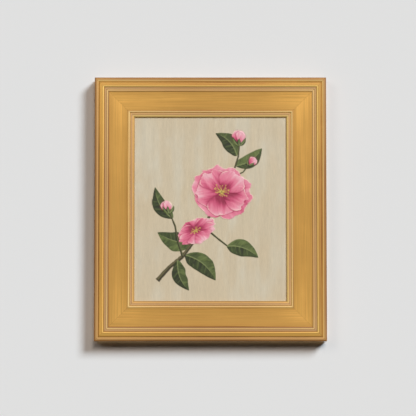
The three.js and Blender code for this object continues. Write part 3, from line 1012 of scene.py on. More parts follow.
@dataclass(frozen=True)
class OilPaintFinish:
    """Oil paint in thin and thick strokes over primed linen, with a satin surface.

    The film carries its colour as `paint`, and `body` is 0 where the paint is thin, so that the weave shows
    with painted shade in its hollows, and 1 where it is thick.
    """

    # Painted shade in the weave's hollows under thin paint
    gap: tuple = (0.35, 0.3, 0.22, 1.0)

    @cache
    def material(self) -> bpy.types.Material:
        """Builds the material, whose weave lies under the colour that the vertices carry.

        Returns:
            The material.
        """
        coat = Coating("oil_paint")
        uv = coat.coordinate("UV")
        paint, body = coat.attribute("paint", "Color"), coat.attribute("body")
        weave = coat.use(weave_group(), Vector=uv, Pitch=THREAD_PITCH, Slub=0.5)
        bristle = coat.use(streak_group(), Vector=uv, Length=0.0012, Width=0.012)
        thin = coat.math("SUBTRACT", 1.0, body, clamp=True)
        # Painted shade: thin paint darkens in the weave's hollows
        shown = thin * weave["Thread"].between(0.55, 0.05) * 0.16
        grit = bristle["Fine"] * 0.1 + 0.95
        grey = coat.signal("ShaderNodeCombineColor", {0: grit, 1: grit, 2: grit})
        return coat.shade(
            Base_Color=coat.layers(paint, (shown, self.gap), (1.0, grey), blend="MULTIPLY"),
            Roughness=body * -0.16 + 0.62 + bristle["Streak"] * 0.08,
            Specular_IOR_Level=0.4,
            Normal=coat.bump(weave["Height"] * thin + bristle["Fine"] * 0.25, 0.07 * MM, 0.8),
        )


# ---- The moulding ---------------------------------------------------------------------------------------


class Side(Enum):
    """The four sides of a rectangle, with how many quarter turns bring the bottom one there."""

    BOTTOM = 0
    RIGHT = 1
    TOP = 2
    LEFT = 3

    @property
    def label(self) -> str:
        """The side's name as the pieces have it."""
        return self.name.lower()

    @property
    def upright(self) -> bool:
        """Whether the side runs up and down."""
        return self in (Side.LEFT, Side.RIGHT)

    def place(self, along: Array, inwards: Array, depth: Array, half: Pair, middle: float) -> Array:
        """Puts a length that lies along one side of a rectangle into the part's frame.

        Along runs to the right on the bottom and is carried round by quarter turns.

        Args:
            along: Distance from the side's middle.
            inwards: Distance from the rectangle's edge towards its middle.
            depth: The y of each point.
            half: Half the rectangle's width and height.
            middle: The z of its centre. Its x is 0.

        Returns:
            The points, with x, y and z as the last axis.
        """
        off = (half[0] if self.upright else half[1]) - inwards
        x, z = ((along, -off), (off, along), (-along, off), (-off, -along))[self.value]
        return np.stack(np.broadcast_arrays(x, depth, z + middle), axis=-1)


class Dressing(Enum):
    """How a stretch of the moulding is finished, as three numbers: leaf, tone and wash.

    Leaf is 1 where it is gilded and 0 where the wood is bare. Tone is lighter above 0 and darker below, and
    much
    of it is painted light: painted highlights on the crests, the pale lines and the sight cove, and painted
    shade on the outer edge and, with the dark wax, in the grooves. Wash is how much of the rosy bole shows
    through the leaf.
    """

    BARE = (0.0, 0.0, 0.0)
    OUTSIDE = (1.0, -1.7, 0.1)
    # Painted shade on the outer edge's rounding
    EDGE = (1.0, -1.4, 0.3)
    LIP = (1.0, -0.5, 0.42)
    # Painted highlight along the lip's crest
    LIP_CREST = (1.0, 0.9, 0.35)
    # Dark wax in the grooves, which is also painted shade there, and deeper in the next line
    WAX = (1.0, -0.55, 0.0)
    DEEP_WAX = (1.0, -1.5, 0.2)
    PLAIN_LEAF = (1.0, 0.0, 0.0)
    ROLL = (1.0, 0.2, 0.0)
    # Painted highlight along the roll's crest
    ROLL_CREST = (1.0, 1.45, 0.05)
    FILLET = (1.0, -0.35, 0.75)
    # Painted highlight lines
    PALE_LINE = (1.0, 1.2, 0.6)
    SMALL_BEAD = (1.0, 0.1, 0.6)
    INNER_BEAD = (1.0, 0.2, 0.3)
    # Painted highlight along the inner bead's crest
    INNER_CREST = (1.0, 2.0, 0.55)
    SIGHT_FILLET = (1.0, 0.3, 0.75)
    # Lightened with painted light where the cove turns away from the lamps
    SIGHT_COVE = (1.0, 1.0, 0.25)


@dataclass(frozen=True)
class Cut:
    """One stretch of the moulding's section, in millimetres, as (inwards, height) in front of the back.

    It goes from the last stretch's end a to its own end b as (1-t)^2 a + 2t(1-t) bend + t^2 b. Without a
    bend it is straight.
    """

    to: Pair
    dressing: Dressing
    bend: Pair | None = None

    def drawn(self, start: Pair, spacing: float = 0.1) -> tuple[Array, Array]:
        """Draws the stretch without its end.

        Args:
            start: Where the last stretch ends.
            spacing: The distance between its points.

        Returns:
            The points, and the dressing's numbers at each.
        """
        first, last = np.array(start), np.array(self.to)
        middle = (first + last) / 2 if self.bend is None else np.array(self.bend)
        length = np.linalg.norm(middle - first) + np.linalg.norm(last - middle)
        t = np.arange(0, 1, spacing / length)[:, None]
        places = (1 - t) ** 2 * first + 2 * t * (1 - t) * middle + t**2 * last
        return places, np.tile(self.dressing.value, (len(t), 1))


def softened(values: Array, reach: float) -> Array:
    """Averages rows with their neighbours by a bell curve, and keeps both ends.

    Args:
        values: The rows.
        reach: How many rows wide the curve is.

    Returns:
        The averaged rows.
    """
    steps = np.arange(-round(3 * reach), round(3 * reach) + 1)
    weights = np.exp(-((steps / reach) ** 2) / 2)
    padded = np.pad(values, ((len(steps) // 2,) * 2, (0, 0)), mode="edge")
    columns = [np.convolve(column, weights / weights.sum(), mode="valid") for column in padded.T]
    result = np.stack(columns, axis=1)
    result[[0, -1]] = values[[0, -1]]
    return result


def evened(places: Array, values: Array, longest: float, turn: float) -> tuple[Array, Array]:
    """Picks points from a fine outline so that each step is short where the outline bends.

    A step's cost is its length over `longest` plus its change of direction over `turn`, and the points are
    read where the running cost is a whole number.

    Args:
        places: The fine outline.
        values: Numbers along it.
        longest: Longest step on a straight stretch.
        turn: Most that the direction changes in a step, in radians.

    Returns:
        The places and the values at the picked points.
    """
    step = np.diff(places, axis=0)
    heading = np.unwrap(np.arctan2(step[:, 1], step[:, 0]))
    bend = np.abs(np.diff(heading, prepend=heading[0]))
    bends = np.concatenate([[0], np.cumsum(softened(bend[:, None], 2)[:, 0])])
    cost = run_along(places) / longest + bends / turn
    wanted = np.linspace(0, cost[-1], int(cost[-1]) + 2)
    return read_columns(wanted, cost, places), read_columns(wanted, cost, values)


@dataclass
class Moulding:
    """The gilded frame: four rails of one section, mitred at the corners.

    The section runs from the outer side, over the lip, groove, slope, roll, fillet, small bead, hollow panel
    and inner bead to the sight edge, and back along the rabbet and the back.

    Attributes:
        chamfer: How far the bare back's edges are cut off.
        gesso: How far the gesso softens the cut wood, in tenths of a millimetre.
        longest_step: The longest step between the section's points.
        sharpest_turn: Most that its direction changes in a step, in degrees.
        ripple: How uneven the hand-rubbed gesso is.
        waves: The lengths of its waves, in metres.
        wave_tilt: How many of them at most lie across `wave_run` metres of the section.
        seed: Sets their slants and phases.
        joint: How much of a rail's end the dark mitre takes up.
        corner_lift: How much lighter the rails grow towards the corners, as a painted sheen.
        middle_drop: How much darker their middles are than their dressing, as painted shade.
        joint_shade: How dark the mitre's edge is.
        fading: How much lighter the top is than the frame's middle, as painted light from above.
        evening: How far the light that the slopes catch or miss is evened out.
        slopes: The range of slopes that this reaches.
        towards_light: For each side, how far its outward slopes are evened down. Below 0 they are lifted.
        top_shade: How much darker the top's outer side is painted, as painted shade that throws less light
            onto the wall.
        panel: From where to where the panel goes.
        panel_middle: Where it is lightest.
        panel_lift: How much lighter it is there, as a painted sheen.
        panel_fall: How much darker its outer and its inner edge are, as painted shade beside the beads.
    """

    width: float = 63.5
    rabbet_width: float = 7.9
    rabbet_depth: float = 19.6
    side: float = 24.6
    lip: float = 26.4
    groove: float = 25.4
    roll: float = 27.9
    fillet: float = 26.6
    bead: float = 26.1
    outer: float = 24.8
    inner: float = 23.9
    inner_bead: float = 24.5
    inner_fillet: float = 23.4
    sight_edge: float = 20.9
    chamfer: float = 0.3
    mitre_gap: float = 0.02
    gesso: float = 1.6
    longest_step: float = 1.5
    sharpest_turn: float = 9.0
    steps_along: int = 92
    ripple: float = 0.045
    waves: tuple[float, ...] = (0.19, 0.11, 0.067, 0.041)
    wave_tilt: float = 0.35
    wave_run: float = 0.02
    seed: int = 40
    joint: float = 0.5
    corner_lift: float = 0.42
    middle_drop: float = -0.16
    joint_shade: float = -0.9
    fading: float = 0.06
    evening: float = 2.4
    slopes: Pair = (-0.3, 0.42)
    towards_light: tuple[float, ...] = (1.4, -1.0, -1.0, 1.0)
    top_shade: float = -0.6
    panel: Pair = (23.5, 52.6)
    panel_middle: float = 38.0
    panel_lift: float = 0.1
    panel_fall: Pair = (0.25, 0.55)

    def cuts(self) -> tuple[Cut, ...]:
        """Lists the stretches of the section that show.

        Returns:
            The stretches, from the outer back corner to the rabbet.
        """
        line, d, sight = self.inner_fillet, Dressing, self.width
        # The crests and pale lines carry painted highlights; the edge and the waxed grooves carry painted
        # shade
        return (
            Cut((0.0, self.side), d.OUTSIDE),
            Cut((1.6, self.lip - 0.3), d.EDGE, (0.2, self.lip - 0.4)),
            Cut((2.6, self.lip - 0.1), d.LIP),
            Cut((4.6, self.lip), d.LIP, (3.6, self.lip + 0.1)),
            Cut((6.1, self.lip - 0.4), d.LIP_CREST, (5.4, self.lip - 0.1)),
            Cut((6.7, self.groove), d.WAX),
            Cut((7.6, self.groove), d.WAX),
            Cut((8.0, self.groove + 1.0), d.WAX),
            Cut((12.2, self.roll - 0.5), d.PLAIN_LEAF, (10.0, self.roll - 0.9)),
            Cut((13.4, self.roll), d.ROLL, (12.8, self.roll)),
            Cut((14.8, self.roll - 0.3), d.ROLL_CREST, (14.2, self.roll)),
            Cut((15.5, self.roll - 0.8), d.ROLL),
            Cut((15.6, self.fillet), d.WAX),
            Cut((16.1, self.fillet), d.WAX),
            Cut((18.0, self.fillet), d.FILLET),
            Cut((18.6, self.fillet - 0.1), d.PALE_LINE),
            Cut((18.7, self.fillet - 0.7), d.DEEP_WAX),
            Cut((19.4, self.fillet - 0.7), d.DEEP_WAX),
            Cut((20.8, self.bead), d.PALE_LINE, (20.1, self.bead)),
            Cut((22.2, self.fillet - 1.2), d.SMALL_BEAD, (21.6, self.bead - 0.1)),
            Cut((22.5, self.outer), d.SMALL_BEAD),
            Cut((self.panel[0], self.outer), d.WAX),
            Cut((self.panel[1], self.inner), d.PLAIN_LEAF, (37.0, (self.outer + self.inner) / 2 - 0.3)),
            Cut((54.2, self.inner_bead), d.INNER_BEAD, (53.4, self.inner_bead)),
            Cut((55.5, self.inner_bead - 0.4), d.INNER_CREST, (55.0, self.inner_bead)),
            Cut((56.1, line), d.INNER_CREST),
            Cut((56.3, line - 0.3), d.WAX),
            Cut((56.9, line - 0.3), d.WAX),
            Cut((57.2, line), d.PALE_LINE),
            Cut((59.0, line - 0.1), d.SIGHT_FILLET),
            Cut((59.3, line - 0.4), d.WAX),
            Cut((60.3, line - 0.4), d.SIGHT_FILLET),
            Cut((sight, self.sight_edge), d.SIGHT_COVE, (62.7, line - 0.75)),
            Cut((sight, self.rabbet_depth), d.SIGHT_COVE),
        )

    def section(self) -> tuple[Array, Array]:
        """The whole closed section and its dressing, from the outer back corner round to it.

        Returns:
            The outline, and the dressing's numbers at each point.
        """
        cuts = self.cuts()
        starts = ((0.0, 0.0), *(cut.to for cut in cuts))
        drawn = [cut.drawn(start) for start, cut in zip(starts, cuts)]
        places = np.concatenate([*(part[0] for part in drawn), [starts[-1]]])
        dressing = np.concatenate([*(part[1] for part in drawn), [cuts[-1].dressing.value]])
        soft = softened(places, self.gesso), softened(dressing, self.gesso)
        places, dressing = evened(*soft, self.longest_step, math.radians(self.sharpest_turn))
        flat, edge = self.width - self.rabbet_width, self.chamfer
        places[0] = (0.0, edge)
        bare = np.array([[flat, self.rabbet_depth], [flat, edge], [flat - edge, 0.0], [edge, 0.0]])
        behind = np.tile(Dressing.BARE.value, (len(bare), 1))
        return np.concatenate([places, bare]), np.concatenate([dressing, behind])

    def ripples(self, along: Array, reach: Array, rail: int) -> Array:
        """Slight unevenness of hand-rubbed gesso, as a sum of long waves along and across the rail.

        Args:
            along: Distance along the rail, in metres.
            reach: Distance round the section, in metres.
            rail: Which rail it is.

        Returns:
            Numbers from about -1 to 1.
        """
        random = np.random.default_rng(self.seed + rail)
        total = np.zeros(np.broadcast_shapes(along.shape, reach.shape))
        for wave in self.waves:
            tilt, phase = random.uniform(-self.wave_tilt, self.wave_tilt), random.uniform(0, 2 * np.pi)
            total += np.sin(2 * np.pi * (along / wave + reach * tilt / self.wave_run) + phase)
        return total / len(self.waves)

    def shading(self, side: Side, t: Array, places: Array, outwards: Array, rise: Array) -> Array:
        """How much lighter or darker than its dressing each point is.

        Most of this is painted light. The rails grow lighter towards the corners as corner_lift t^2, a
        painted sheen, and are dark right at the mitre, where the joint is. They are painted lighter above
        than below, and the top's outer side is painted darker. The panel grows darker from its middle,
        outwards as off^2 and inwards as off^3, as painted shade beside the beads. Slopes are made darker
        where they look into the light and lighter where they look away from it.

        Args:
            side: Which rail it is.
            t: How far along it each ring is, from -1 to 1.
            places: The section.
            outwards: How far each of its points faces away from the frame's middle.
            rise: How high each point hangs, from -1 at the frame's lower edge to 1 at its upper one.

        Returns:
            The tone to add.
        """
        inwards, height = places.T
        # Painted sheen towards the corners and painted shade mid-rail; the dark line at the mitre is the
        # joint
        tone = self.corner_lift * t**2 + self.middle_drop + self.joint_shade * (np.abs(t) == 1)
        # Painted light: the frame grows lighter towards its top
        tone = tone + self.fading * rise
        # Painted light and shade that even out the light that the slopes catch or miss
        slope = np.clip(outwards, *self.slopes) * smooth_step(inwards, 2.0, 3.0)
        tone = tone - self.evening * slope * self.towards_light[side.value]
        # Painted shade on the top's outer side, so that it throws less light onto the wall
        if side is Side.TOP:
            tone = tone + self.top_shade * (inwards < 0.1) * (height < self.side + 0.1)
        # Painted sheen in the panel's middle and painted shade towards the beads at its edges
        off = (inwards - self.panel_middle) / (self.panel[1] - self.panel_middle)
        fall = np.where(off > 0, self.panel_fall[1] * off**3, self.panel_fall[0] * off**2)
        return tone + np.where(np.abs(off) < 1, self.panel_lift - fall, 0.0)

    def rail(self, side: Side, half: Pair, middle: float, back: float) -> Shell:
        """Carries the section along one side, with both ends cut at 45 degrees.

        A point that lies u inwards goes to t (L / 2 - u - gap) along a rail of length L, for t from -1 to 1.

        Args:
            side: Which side it is.
            half: Half the frame's width and height, in metres.
            middle: The z of its centre.
            back: The y of its back plane.

        Returns:
            The closed surface.
        """
        places, dressing = self.section()
        inwards, height = places.T * MM
        reach = run_along(places * MM)
        length = half[1] if side.upright else half[0]
        near = 1 - self.joint * MM / length
        t = np.concatenate([[-1], np.linspace(-near, near, self.steps_along), [1]])[:, None]
        along = t * (length - inwards - self.mitre_gap * MM)

        outline = np.gradient(places, axis=0)
        normal = np.stack([-outline[:, 1], outline[:, 0]], axis=1)
        normal /= np.linalg.norm(normal, axis=1, keepdims=True)
        leaf, tone, wash = dressing.T
        swell = (self.ripples(along, reach, side.value) - 1) * self.ripple * MM
        swell *= np.minimum(leaf, smooth_step(height, 5 * MM, 20 * MM))
        depth = back - (height + swell * normal[:, 1])
        points = side.place(along, inwards + swell * normal[:, 0], depth, half, middle)

        wrapped = np.concatenate([reach, [reach[-1] + 0.6 * MM]])
        uv_along = np.concatenate([along, along[:, :1]], axis=1) + side.value
        uv = np.stack(np.broadcast_arrays(uv_along, wrapped), axis=-1)
        rise = (points[..., 2] - middle) / half[1]
        values = {
            "leaf": np.broadcast_to(leaf, along.shape),
            "tone": tone + self.shading(side, t, places, normal[:, 0], rise),
            "wash": np.broadcast_to(wash, along.shape),
        }
        shell = Shell.from_grid(points, uv, (False, True), values)
        ring = np.arange(len(places))
        shell.with_face(ring[::-1], places[::-1] * MM)
        shell.with_face(ring + (len(t) - 1) * len(places), places * MM)
        return shell.facing_out()

    def build(self) -> None:
        """Makes the four rails in place of the CAD ones."""
        low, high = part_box("frame_rail_bottom"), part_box("frame_rail_top")
        half = (float(high[1].x), float(high[1].z - low[0].z) / 2)
        middle = float(high[1].z + low[0].z) / 2
        gilding = GiltFinish().material()
        for side in Side:
            rail = self.rail(side, half, middle, float(low[1].y)).build(f"gilded_rail_{side.label}")
            settle(rail, gilding, "gilt_wood", f"frame_rail_{side.label}")


# ---- The stretched linen --------------------------------------------------------------------------------


def clustered(half: float, count: int) -> Array:
    """Coordinates half sin(pi t / 2) for even t from -1 to 1, which lie closer together towards both ends."""
    return half * np.sin(np.pi / 2 * np.linspace(-1, 1, count))


def ring_of(rows: int, columns: int) -> Array:
    """The vertex numbers round a grid, from its lowest corner along the bottom, up, back and down."""
    number = np.arange(rows * columns).reshape(rows, columns)
    return np.concatenate([number[0, :-1], number[:-1, -1], number[-1, :0:-1], number[:0:-1, 0]])


@dataclass
class Linen:
    """The linen: one closed sheet with a front, four sides and a turnover that is stapled to the back.

    It is a grid in front, rings that follow its edge over the bars and back inwards, and the same again
    one thickness further in. Its numbers are in millimetres.

    Attributes:
        bed: How far the front lies behind the CAD canvas's face, which leaves room for the paint.
        bend: The radius of its bends.
        corner: The radius of its corners.
        fold_rise: How far the upper and lower flaps lie over the side ones at the corners.
        fold_reach: How far from the corner they do.
        fraying: How far from its end the raw edge wanders, by `ragged` aside and `waves` outwards.
        wave_lengths: How long these wanderings are, the ripples outwards, and their swelling.
        seed: Sets the raw edge's noise.
        counts: How many columns and rows the front has.
    """

    thickness: float = 0.5
    bed: float = 0.08
    bend: float = 1.2
    turnover: float = 20.0
    corner: float = 1.6
    fold_rise: float = 0.35
    fold_reach: float = 24.0
    fraying: float = 10.0
    ragged: float = 0.5
    waves: float = 0.12
    wave_lengths: tuple[float, float, float] = (23.0, 41.0, 55.0)
    seed: int = 31
    counts: tuple[int, int] = (73, 83)

    def measured(self) -> tuple[Pair, float, float, float]:
        """Measures the CAD canvas.

        Returns:
            Half its width and height, the z of its middle, and the y of the linen's front and back.
        """
        seat = Seat.of("canvas")
        x, _, z = (seat.high - seat.low) / 2
        return (x, z), (seat.high[2] + seat.low[2]) / 2, seat.low[1] + self.bed, seat.high[1]

    def skin(self, inner: float, front: float, back: float) -> Array:
        """How one face of the cloth goes from the front to the turnover's end.

        Both bends are quarter circles of radius (bend - inner).

        Args:
            inner: How far it lies inside the outer face.
            front: The y of the outer face in front.
            back: The y of the outer face behind.

        Returns:
            Rows of (distance in from the canvas's edge, y, distance along the cloth from the front's edge).
        """
        radius = self.bend - inner
        sine, cosine = radius * np.sin(QUARTER), radius * np.cos(QUARTER)
        first = np.stack([self.bend - sine, front + self.bend - cosine], axis=1)
        last = np.stack([self.bend - cosine, back - self.bend + sine], axis=1)
        steps = np.linspace(self.bend, self.turnover, 14)[1:]
        flap = np.stack([steps, np.full(len(steps), back - inner)], axis=1)
        path = np.concatenate([first, last, flap])
        return np.concatenate([path, run_along(path)[:, None]], axis=1)

    def rings(self, base: Array, half: Pair, skin: Array) -> tuple[Array, Array]:
        """Carries a skin round the canvas.

        A ring at inset d is the front's edge scaled to the half sizes minus d, with its corners rounded. The
        raw edge wanders a little, and at the corners the upper and lower flaps lie over the side ones.

        Args:
            base: The front's edge points, rows of (x, z).
            half: Half the canvas's width and height.
            skin: The skin's rows.

        Returns:
            The places, and where they lie on the cloth laid flat, both rings by points.
        """
        whole = np.array(half)
        edge = whole - self.bend
        inset, depth, run = (column[:, None] for column in skin.T)
        flat_top = np.isclose(np.abs(base[:, 1]), edge[1])
        arc = np.cumsum(np.linalg.norm(np.diff(base, axis=0, prepend=base[-1:]), axis=1))
        raw = smooth_step(run, run[-1] - self.fraying, run[-1])
        grain = Grain(self.seed)
        aside, outwards, swelling = (arc / length for length in self.wave_lengths)
        inset = inset + raw * self.ragged * (grain.layered(aside, 0) * 2 - 1)
        reach = whole[None, None] - inset[..., None]
        places = base[None] / edge * reach
        radius = np.maximum(self.corner - inset, 0.1)[..., None]
        held = np.clip(places, radius - reach, reach - radius)
        off = places - held
        size = np.linalg.norm(off, axis=-1, keepdims=True)
        places = np.where(size > radius, held + off * radius / np.maximum(size, 1e-9), places)

        behind = smooth_step(depth, skin[-1, 1] - 1.0, skin[-1, 1])
        near = smooth_step(self.fold_reach - (edge[0] - np.abs(base[:, 0])), 0, 8)
        depth = depth + behind * flat_top * near * self.fold_rise
        ripple = np.sin(2 * np.pi * outwards) * (0.5 + grain.at(swelling, 9))
        depth = depth - raw * self.waves * (1 + ripple)
        points = np.stack([places[..., 0], depth, places[..., 1]], axis=-1)
        away = np.where(flat_top[:, None], [0.0, 1.0], [1.0, 0.0]) * np.sign(base / edge)
        flat = np.where(away != 0, base + away * run[..., None], places)
        return points, flat

    def shell(self) -> Shell:
        """Makes the closed sheet.

        Returns:
            The surface, whose texture places are those on the cloth laid flat.
        """
        half, middle, front, back = self.measured()
        columns, rows = (clustered(side - self.bend, count) for side, count in zip(half, self.counts))
        x, z = np.meshgrid(columns, rows)
        ring = ring_of(*x.shape)
        base = np.stack([x.ravel()[ring], z.ravel()[ring]], axis=1)
        outer, outer_flat = self.rings(base, half, self.skin(0.0, front, back))
        inner, inner_flat = self.rings(base, half, self.skin(self.thickness, front, back))
        loops = np.concatenate([outer[1:], inner[:0:-1]])
        loops_flat = np.concatenate([outer_flat[1:], inner_flat[:0:-1]])

        face = np.stack([x.ravel(), np.full(x.size, front), z.ravel()], axis=1)
        hidden = face + [0, self.thickness, 0]
        points = np.concatenate([face, loops.reshape(-1, 3), hidden])
        flat = np.concatenate([face[:, ::2], loops_flat.reshape(-1, 2), face[:, ::2]])
        count = len(ring)
        middle_rows = len(face) + np.arange(len(loops) * count).reshape(-1, count)
        table = np.concatenate([ring[None], middle_rows, ring[None] + len(face) + len(loops) * count])
        after = np.roll(table, -1, axis=1)
        sides = np.stack([table[:-1], table[1:], after[1:], after[:-1]], axis=-1).reshape(-1, 4)
        grid = Shell.from_grid(face.reshape(*x.shape, 3)).faces[0]
        faces = np.concatenate([grid[:, ::-1], sides, grid + len(points) - len(hidden)])
        return Shell(points * MM, [faces], [flat[faces] * MM]).facing_out().moved(z=middle * MM)

    def flat_size(self) -> Pair:
        """Works out the size of the cloth before it was stretched.

        Returns:
            Its width and height, in metres.
        """
        half, _, front, back = self.measured()
        over = self.skin(0.0, front, back)[-1, 2]
        return tuple(2 * (side - self.bend + over) * MM for side in half)

    def build(self, bars: list[bpy.types.Object]) -> None:
        """Makes the linen in place of the CAD canvas.

        Args:
            bars: The bars that it is stretched over; not used.
        """
        sheet = self.shell().build("stretched_linen")
        settle(sheet, RawLinenFinish().material(), "painted_linen", "canvas")
        self.flat_size()


# ---- The painting ---------------------------------------------------------------------------------------


class Grain:
    """Smooth noise from 0 to 1, read from a seeded table of numbers that repeats."""

    SIZE = 64

    def __init__(self, seed: int) -> None:
        """Draws the table."""
        self.table = np.random.default_rng(seed).random((self.SIZE, self.SIZE))

    def at(self, u: Array, v: Array) -> Array:
        """Blends the four table entries round (u, v) with weights 3t^2 - 2t^3 in both directions.

        Args:
            u: First coordinate, in table entries.
            v: Second coordinate.

        Returns:
            The noise at each place.
        """
        u, v = np.broadcast_arrays(u, v)
        i, j = np.floor(u).astype(int), np.floor(v).astype(int)
        a, b = smooth_step(u - i, 0, 1), smooth_step(v - j, 0, 1)
        near, far = i % self.SIZE, (i + 1) % self.SIZE
        columns = j % self.SIZE, (j + 1) % self.SIZE
        low, high = (self.table[near, k] * (1 - a) + self.table[far, k] * a for k in columns)
        return low * (1 - b) + high * b

    def layered(self, u: Array, v: Array) -> Array:
        """Adds three layers, each twice as fine and half as strong as the one before."""
        return (self.at(u, v) * 4 + self.at(2 * u + 7, 2 * v + 3) * 2 + self.at(4 * u + 5, 4 * v + 9)) / 7


def tint(red: int, green: int, blue: int) -> Array:
    """Makes a display colour from 0 to 1 a channel."""
    return np.array([red, green, blue]) / 255


def blended(under: Array, *over: tuple[Array, Array]) -> Array:
    """Lays colours over one another, each with a factor that is held within 0 and 1.

    Args:
        under: The lowest colour.
        *over: A factor and a colour for each layer above it.

    Returns:
        The colour that shows.
    """
    for factor, colour in over:
        amount = np.clip(factor, 0, 1)[..., None]
        under = under * (1 - amount) + colour * amount
    return under


class Paint:
    """The display colours that the picture is painted with."""

    GROUND = tint(207, 194, 169)
    GROUND_WARM = tint(206, 188, 157)
    GROUND_COOL = tint(206, 199, 180)
    ROSE_DEEP = tint(150, 36, 70)
    ROSE = tint(204, 80, 116)
    PINK = tint(229, 128, 152)
    PALE_PINK = tint(240, 180, 190)
    CREAM = tint(247, 218, 200)
    LEAF_DARK = tint(38, 46, 22)
    LEAF = tint(60, 73, 33)
    LEAF_LIGHT = tint(98, 112, 58)
    VEIN = tint(138, 146, 92)
    BARK = tint(84, 74, 44)
    BARK_DARK = tint(48, 42, 26)
    BARK_LIGHT = tint(138, 136, 88)
    STAMEN = tint(226, 212, 128)
    ANTHER = tint(206, 164, 56)
    HEART = tint(126, 138, 62)


class PaintFilm:
    """Oil paint as a colour and a thickness at each point of a grid.

    Places are millimetres right of and above the picture's middle. The grid is even over the motif and
    wider spaced round it. `EDGE_ROOM` is how far from the edge the frame's rabbet lies over it, where it is
    at most `EDGE_THICKNESS` thick, and `BASE` is the ground's thickness.
    """

    EDGE_ROOM = 9.0
    EDGE_THICKNESS = 0.22
    BASE = 0.08

    def __init__(self, half: Pair, fine_half: Pair, fine: float, wide: float, seed: int) -> None:
        """Makes a film without colour.

        Args:
            half: Half its width and height.
            fine_half: Half the width and height of its finely spaced part.
            fine: Spacing there.
            wide: Spacing round it.
            seed: Sets the noise and the random draws of what is painted on it.
        """
        self.grain, self.random = Grain(seed), np.random.default_rng(seed + 1)
        self.half = half
        self.columns, self.rows = (
            self.spaced(whole, inner, fine, wide) for whole, inner in zip(half, fine_half)
        )
        self.x, self.z = np.meshgrid(self.columns, self.rows)
        self.colour = np.zeros((*self.x.shape, 3))
        self.thickness = np.full(self.x.shape, self.BASE)
        self.body = np.zeros(self.x.shape)

    @staticmethod
    def spaced(whole: float, inner: float, fine: float, wide: float) -> Array:
        """Spaces coordinates out from -whole to whole.

        Args:
            whole: The last one.
            inner: How far from 0 they are finely spaced.
            fine: The spacing there.
            wide: The spacing beyond it.

        Returns:
            The coordinates.
        """
        middle = np.linspace(-inner, inner, round(2 * inner / fine) + 1)
        outer = np.linspace(inner, whole, round((whole - inner) / wide) + 1)[1:]
        return np.concatenate([-outer[::-1], middle, outer])

    def window(self, x: float, z: float, reach: float) -> tuple[slice, slice]:
        """The rows and columns within a distance of a place."""
        rows = np.searchsorted(self.rows, (z - reach, z + reach))
        return slice(*rows), slice(*np.searchsorted(self.columns, (x - reach, x + reach)))

    def lay(self, part: tuple[slice, slice], mask: Array, colour: Array, relief: Array, body: float) -> None:
        """Lays paint over a part of the film.

        Args:
            part: Its rows and columns.
            mask: How much of what lies below is covered, from 0 to 1.
            colour: The paint's colour.
            relief: Its thickness.
            body: How far the weave is filled, from 0 to 1.
        """
        self.colour[part] = blended(self.colour[part], (mask, colour))
        self.thickness[part] += mask * (relief - 0.35 * (self.thickness[part] - self.BASE))
        self.body[part] = np.maximum(self.body[part] * (1 - mask), mask * body)

    def limited(self) -> Array:
        """Keeps the paint thin near the edge, where the frame's rabbet lies over it.

        Returns:
            The thickness.
        """
        gap = np.minimum(self.half[0] - np.abs(self.x), self.half[1] - np.abs(self.z))
        allowed = self.EDGE_THICKNESS + 0.7 * smooth_step(gap, self.EDGE_ROOM, self.EDGE_ROOM + 8)
        return np.minimum(self.thickness, allowed)


@dataclass(frozen=True)
class Axis:
    """A line from one place to another, which a stroke or a leaf follows.

    Attributes:
        start: Where it begins.
        end: Where it ends.
        bow: How far its middle is bowed aside, as a part of its length.
    """

    start: Pair
    end: Pair
    bow: float

    @property
    def length(self) -> float:
        """The distance between both ends."""
        return float(np.hypot(self.end[0] - self.start[0], self.end[1] - self.start[1]))

    def window(self, film: PaintFilm, reach: float) -> tuple[slice, slice]:
        """The part of a film within a distance of the middle."""
        return film.window(*((np.array(self.start) + np.array(self.end)) / 2), reach)

    def along_and_across(self, film: PaintFilm, part: tuple[slice, slice]) -> tuple[Array, Array]:
        """Where a part of a film lies beside the line, which is bowed aside by bow * 4 s (1 - s).

        Args:
            film: The film.
            part: Its rows and columns.

        Returns:
            How far along the line each point is, from 0 to 1, and its distance from it.
        """
        run, length = np.array(self.end) - np.array(self.start), self.length
        x, z = film.x[part] - self.start[0], film.z[part] - self.start[1]
        s = (x * run[0] + z * run[1]) / length**2
        return s, (z * run[0] - x * run[1]) / length - self.bow * length * 4 * s * (1 - s)


@dataclass(frozen=True)
class Stroke:
    """One drag of a brush along a line.

    It is as wide as its width times (1 - taper s), s being how far along it is, with noise across it for the
    bristles.
    """

    axis: Axis
    width: float
    colour: Array
    shade: Array
    taper: float = 0.5
    relief: float = 0.12
    cover: float = 1.0

    def paint(self, film: PaintFilm) -> None:
        """Lays the stroke on a film, with `shade` on its lower and left side.

        Args:
            film: The film.
        """
        grain = film.grain
        start, length = self.axis.start, self.axis.length
        part = self.axis.window(film, length / 2 + abs(self.axis.bow) * length + 2 * self.width)
        along, across = self.axis.along_and_across(film, part)
        half = self.width / 2 * (1 - self.taper * np.clip(along, 0, 1))
        ragged = half * (0.82 + 0.36 * grain.at(along * length / 2.5, across * 0.2 + start[0]))
        bristles = grain.at(across / 0.55 + start[1], along * length / 9)
        edge = smooth_step(ragged - np.abs(across), -0.5, 0.6)
        ends = smooth_step(along * length, -0.8, 0.5) * smooth_step((1 - along) * length, -0.8, 0.5)
        facing = np.sign(self.axis.end[0] - start[0]) or 1.0
        off = across / np.maximum(half, 0.1)
        colour = blended(self.colour, (0.5 - 0.5 * facing * off * 0.9, self.shade))
        colour = colour * (0.95 + 0.1 * bristles[..., None])
        relief = self.relief * (0.5 + bristles) * np.clip(1.2 - off**2, 0.1, 1)
        film.lay(part, edge * ends * self.cover, colour, relief, 0.9)


